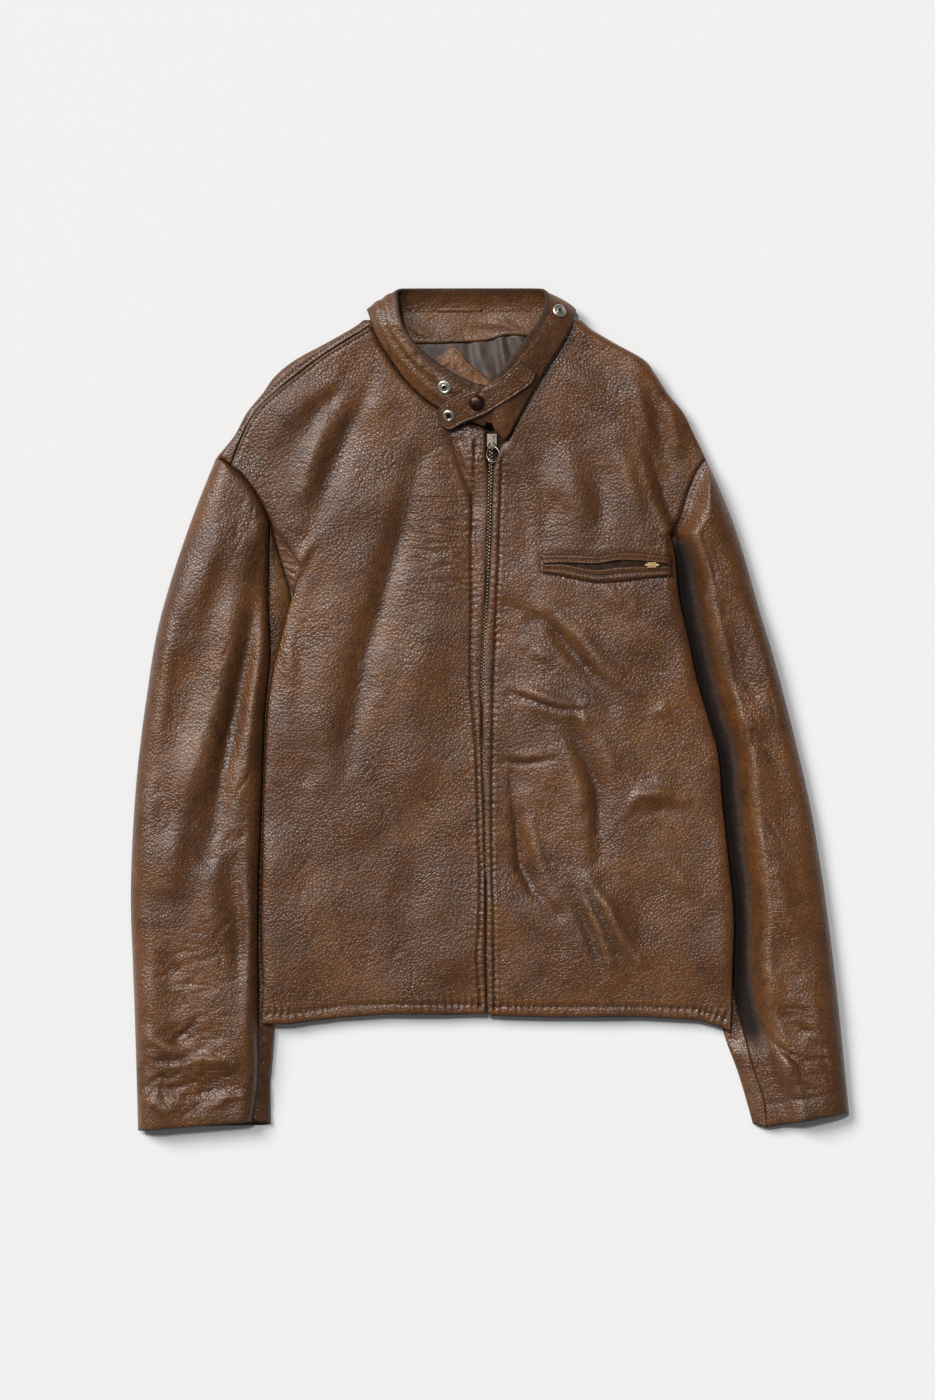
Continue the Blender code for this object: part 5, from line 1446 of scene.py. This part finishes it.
STUD = [(0.4, 0.3), (0.7, 0.5), (1.0, 0.15), (0.7, -0.35), (0.9, 0.0), (0.3, 1.1), (0.5, 0.15),
        (0.3, -1.9)]
SOCKET = [(0.4, 0.3), (0.8, 0.8), (1.4, 0.1), (0.7, -0.9), (0.3, -0.9)]
CAP = [(0.35, 0.5), (0.5, 0.7), (0.8, 0.6), (1.2, 0.65), (1.5, 0.5), (1.5, 0.22)]
for name, node_name, radius, steps, finish, slot_name, shaded_hollow in (
        ("stud_right", "snap_stud_right", 6.7, STUD, NICKEL, "nickel", 2.2),
        ("stud_left", "snap_stud_left", 6.7, STUD, NICKEL, "nickel", 2.2),
        ("socket_on_tab", "snap_socket_tab", 6.1, SOCKET, NICKEL, "nickel", 2.6),
        ("cap_on_tab", "snap_cap_tab", 7.4, CAP, DARK_METAL, "dark_metal", 0.0)):
    disc = stand_on(turned_disc(name, radius, steps, finish, shaded_hollow), node_name)
    finish_piece(disc, [node_name], None)

# %% [markdown]
# ## Stitches
#
# A row of stitches is one short, thick thread after another, each sinking into the leather at both
# ends.  One stitch is modelled as a small bent rod and copied along each seam, lying on the
# surface under it.
# %% One stitch and rows of them
def one_stitch(length):
    """A rod along x that dips at both ends: six-sided, seven rings."""
    rings, sides = 7, 6
    points, faces = [], []
    for k in range(rings):
        t = k / (rings - 1) * 2 - 1
        girth = 0.46 * (1 - 0.55 * t * t * t * t)
        for m in range(sides):
            a = 2 * math.pi * m / sides
            dip = 0.30 - 0.62 * t * t
            points.append((t * length / 2, girth * math.cos(a), girth * math.sin(a) + dip))
    for k in range(rings - 1):
        for m in range(sides):
            n = (m + 1) % sides
            faces.append([k * sides + m, k * sides + n, (k + 1) * sides + n, (k + 1) * sides + m])
    faces += [list(range(sides))[::-1], [(rings - 1) * sides + m for m in range(sides)]]
    return np.array(points), [face[::-1] for face in faces]


def stitch_row(name, path, on, pitch=4.2, length=3.0, finish=THREAD):
    """Stitches along a path, on top of the named pieces."""
    tree = tree_of(*(JACKET[piece] for piece in on))
    path = np.array(path, float)
    smooth_path = along_curve(path, int(run_along(path)[-1] / 1.5) + 2)
    reach = run_along(smooth_path)
    places = []
    for s in np.arange(pitch / 2, reach[-1], pitch):
        x, y = (np.interp(s, reach, smooth_path[:, k]) for k in (0, 1))
        ahead, behind = (np.array([np.interp(s + d, reach, smooth_path[:, k]) for k in (0, 1)])
                         for d in (length / 2, -length / 2))
        z, normal = top_at(tree, x, y, None)
        if z is None:
            continue
        z_ahead, z_behind = (top_at(tree, *spot, z)[0] for spot in (ahead, behind))
        along = Vector((*(ahead - behind), np.clip(z_ahead - z_behind, -1.5, 1.5))).normalized()
        up = (normal - along * normal.dot(along)).normalized()
        places.append(((x, y, z), [along, up.cross(along), up]))
    points, faces = one_stitch(length)
    return copies(name, points, faces, places, finish)


def shifted(path, dx, dy):
    return [(x + dx, y + dy) for x, y in path]


PATCH_ZIGZAG = [(x, y - 2.6 + (1.2 if k % 2 else -1.2))
                for k, (x, y) in enumerate(along_curve(PATCH_TOP, 44)[2:-6])]
BOX_STITCH = [(29, 332), (42, 321), (33, 311), (21, 322), (29, 332)]
ROWS = {
    "stitch_hem_right": (HEM_STITCH_RIGHT, ["front_right_panel"]),
    "stitch_hem_left": (HEM_STITCH_LEFT, ["front_left_panel"]),
    "stitch_zip_right": (PLACKET_RIGHT, ["front_right_panel"]),
    "stitch_zip_left": (PLACKET_LEFT, ["front_left_panel"]),
    "stitch_armhole_right": (ARMHOLE_STITCH_RIGHT, ["front_right_panel", "sleeve_right_top"]),
    "stitch_shoulder_right": (SHOULDER_STITCH_RIGHT, ["front_right_panel", "back_panel"]),
    "stitch_shoulder_outer": (shifted(SHOULDER_RIGHT[1:], -3.0, 2.5), ["back_panel"]),
    "stitch_armhole_left": (shifted(ARMHOLE_LEFT, 4.0, -2.0), ["sleeve_left_top", "front_left_panel"]),
    "stitch_pocket": (POCKET_FRAME, ["front_left_panel", "welt_above", "welt_below"]),
    "stitch_tab": (BOX_STITCH, ["tab_strap"]),
}
STITCHES = {name: stitch_row(name, path, on) for name, (path, on) in ROWS.items()}
STITCHES["stitch_patch"] = stitch_row("stitch_patch", PATCH_ZIGZAG, ["patch_piece"], 2.4, 2.0,
                                      PALE_TAPE)
print("stitch rows:", len(STITCHES))

# %% [markdown]
# ## The cut of each sheet
#
# A maker needs the flat size of each piece before it was sewn.
# %% Flat sizes
def outer_area(piece):
    """Area of one face of a wall, in square metres."""
    return sum(face.area for face in piece.data.polygons) / 2


CUTS = {
    "front_right_panel": (0.25, 0.69, 0.78, ["back_panel"]),
    "front_left_panel": (0.26, 0.70, 0.80, ["back_panel"]),
    "back_panel": (0.50, 0.69, 0.88, []),
    "underarm_panel": (0.030, 0.070, 0.38, ["back_panel"]),
    "sleeve_right_top": (0.175, 0.66, 0.82, ["sleeve_right_below"]),
    "sleeve_right_below": (0.18, 0.62, 0.82, []),
    "sleeve_left_top": (0.155, 0.66, 0.82, ["sleeve_left_below"]),
    "sleeve_left_below": (0.17, 0.62, 0.82, []),
    "collar_band": (0.51, 0.042, 0.95, ["back_panel"]),
    "neck_facing_piece": (0.17, 0.03, 0.9, ["back_panel"]),
    "lining_piece": (0.20, 0.07, 0.9, ["back_panel"]),
    "patch_piece": (0.07, 0.045, 0.6, ["lining_piece"]),
    "tab_strap": (0.10, 0.036, 0.7, ["collar_band"]),
    "loop_piece": (0.045, 0.010, 0.42, ["collar_band"]),
    "welt_above": (0.127, 0.012, 0.8, ["front_left_panel"]),
    "welt_below": (0.127, 0.016, 0.8, ["front_left_panel"]),
    "pocket_tape_piece": (0.122, 0.010, 0.9, ["front_left_panel"]),
    "tape_right": (0.013, 0.56, 0.95, ["back_panel"]),
    "tape_left": (0.013, 0.56, 0.95, ["back_panel"]),
}
for name, (width, length, share, rests_on) in CUTS.items():
    print(f"{name}: cut {width * length * share:.4f} m2, made {outer_area(JACKET[name]):.4f} m2")

# %% [markdown]
# ## Surface, light and camera
#
# The jacket lies on a pale surface, lit like a garment laid out for a catalogue: a broad light that
# comes in from the upper left, a smaller one more nearly overhead for the gloss, and a dim, even
# sky.  The camera looks straight down from far away, so that the sides don't show.
# %% Surface
bpy.ops.object.select_all(action="DESELECT")
bpy.ops.mesh.primitive_plane_add(size=6.0, location=(0, 0, -0.0004))
surface = bpy.context.object
surface.name = "pale_surface"
paper, paper_tree, paper_shader = new_material("paper", roughness=0.9)
paper_shader.inputs["Base Color"].default_value = rgb(0.805, 0.805, 0.805)
surface.data.materials.append(paper)

# %% Lights
def far_light(name, azimuth, elevation, width, power):
    """A large lamp far away: azimuth and elevation of where it stands, its width seen from here."""
    lamp = bpy.data.lights.new(name, "SUN")
    lamp.angle, lamp.energy = math.radians(width), power
    holder = bpy.data.objects.new(name, lamp)
    a, e = math.radians(azimuth), math.radians(elevation)
    holder.location = Vector((math.cos(e) * math.cos(a), math.cos(e) * math.sin(a), math.sin(e))) * 3
    holder.rotation_euler = (-holder.location).to_track_quat("-Z", "Y").to_euler()
    bpy.context.scene.collection.objects.link(holder)
    return holder


far_light("key", 142, 40, 26, 2.95)
far_light("gloss", 118, 68, 7, 1.15)
world = bpy.data.worlds.new("sky")
bpy.context.scene.world = world
world.use_nodes = True
world.node_tree.nodes["Background"].inputs["Color"].default_value = rgb(1.0, 1.0, 1.0)
world.node_tree.nodes["Background"].inputs["Strength"].default_value = 0.15
bpy.context.scene.view_settings.view_transform = "Standard"

# %% Camera
VIEW_HEIGHT, DISTANCE = 1.344, 5.0
camera = bpy.data.objects.new("camera", bpy.data.cameras.new("camera"))
camera.data.sensor_fit = "VERTICAL"
camera.data.sensor_height = 24.0
camera.data.lens = 24.0 * DISTANCE / VIEW_HEIGHT
camera.location = (-0.0211, 0.0096, DISTANCE)
bpy.context.scene.collection.objects.link(camera)
bpy.context.scene.camera = camera
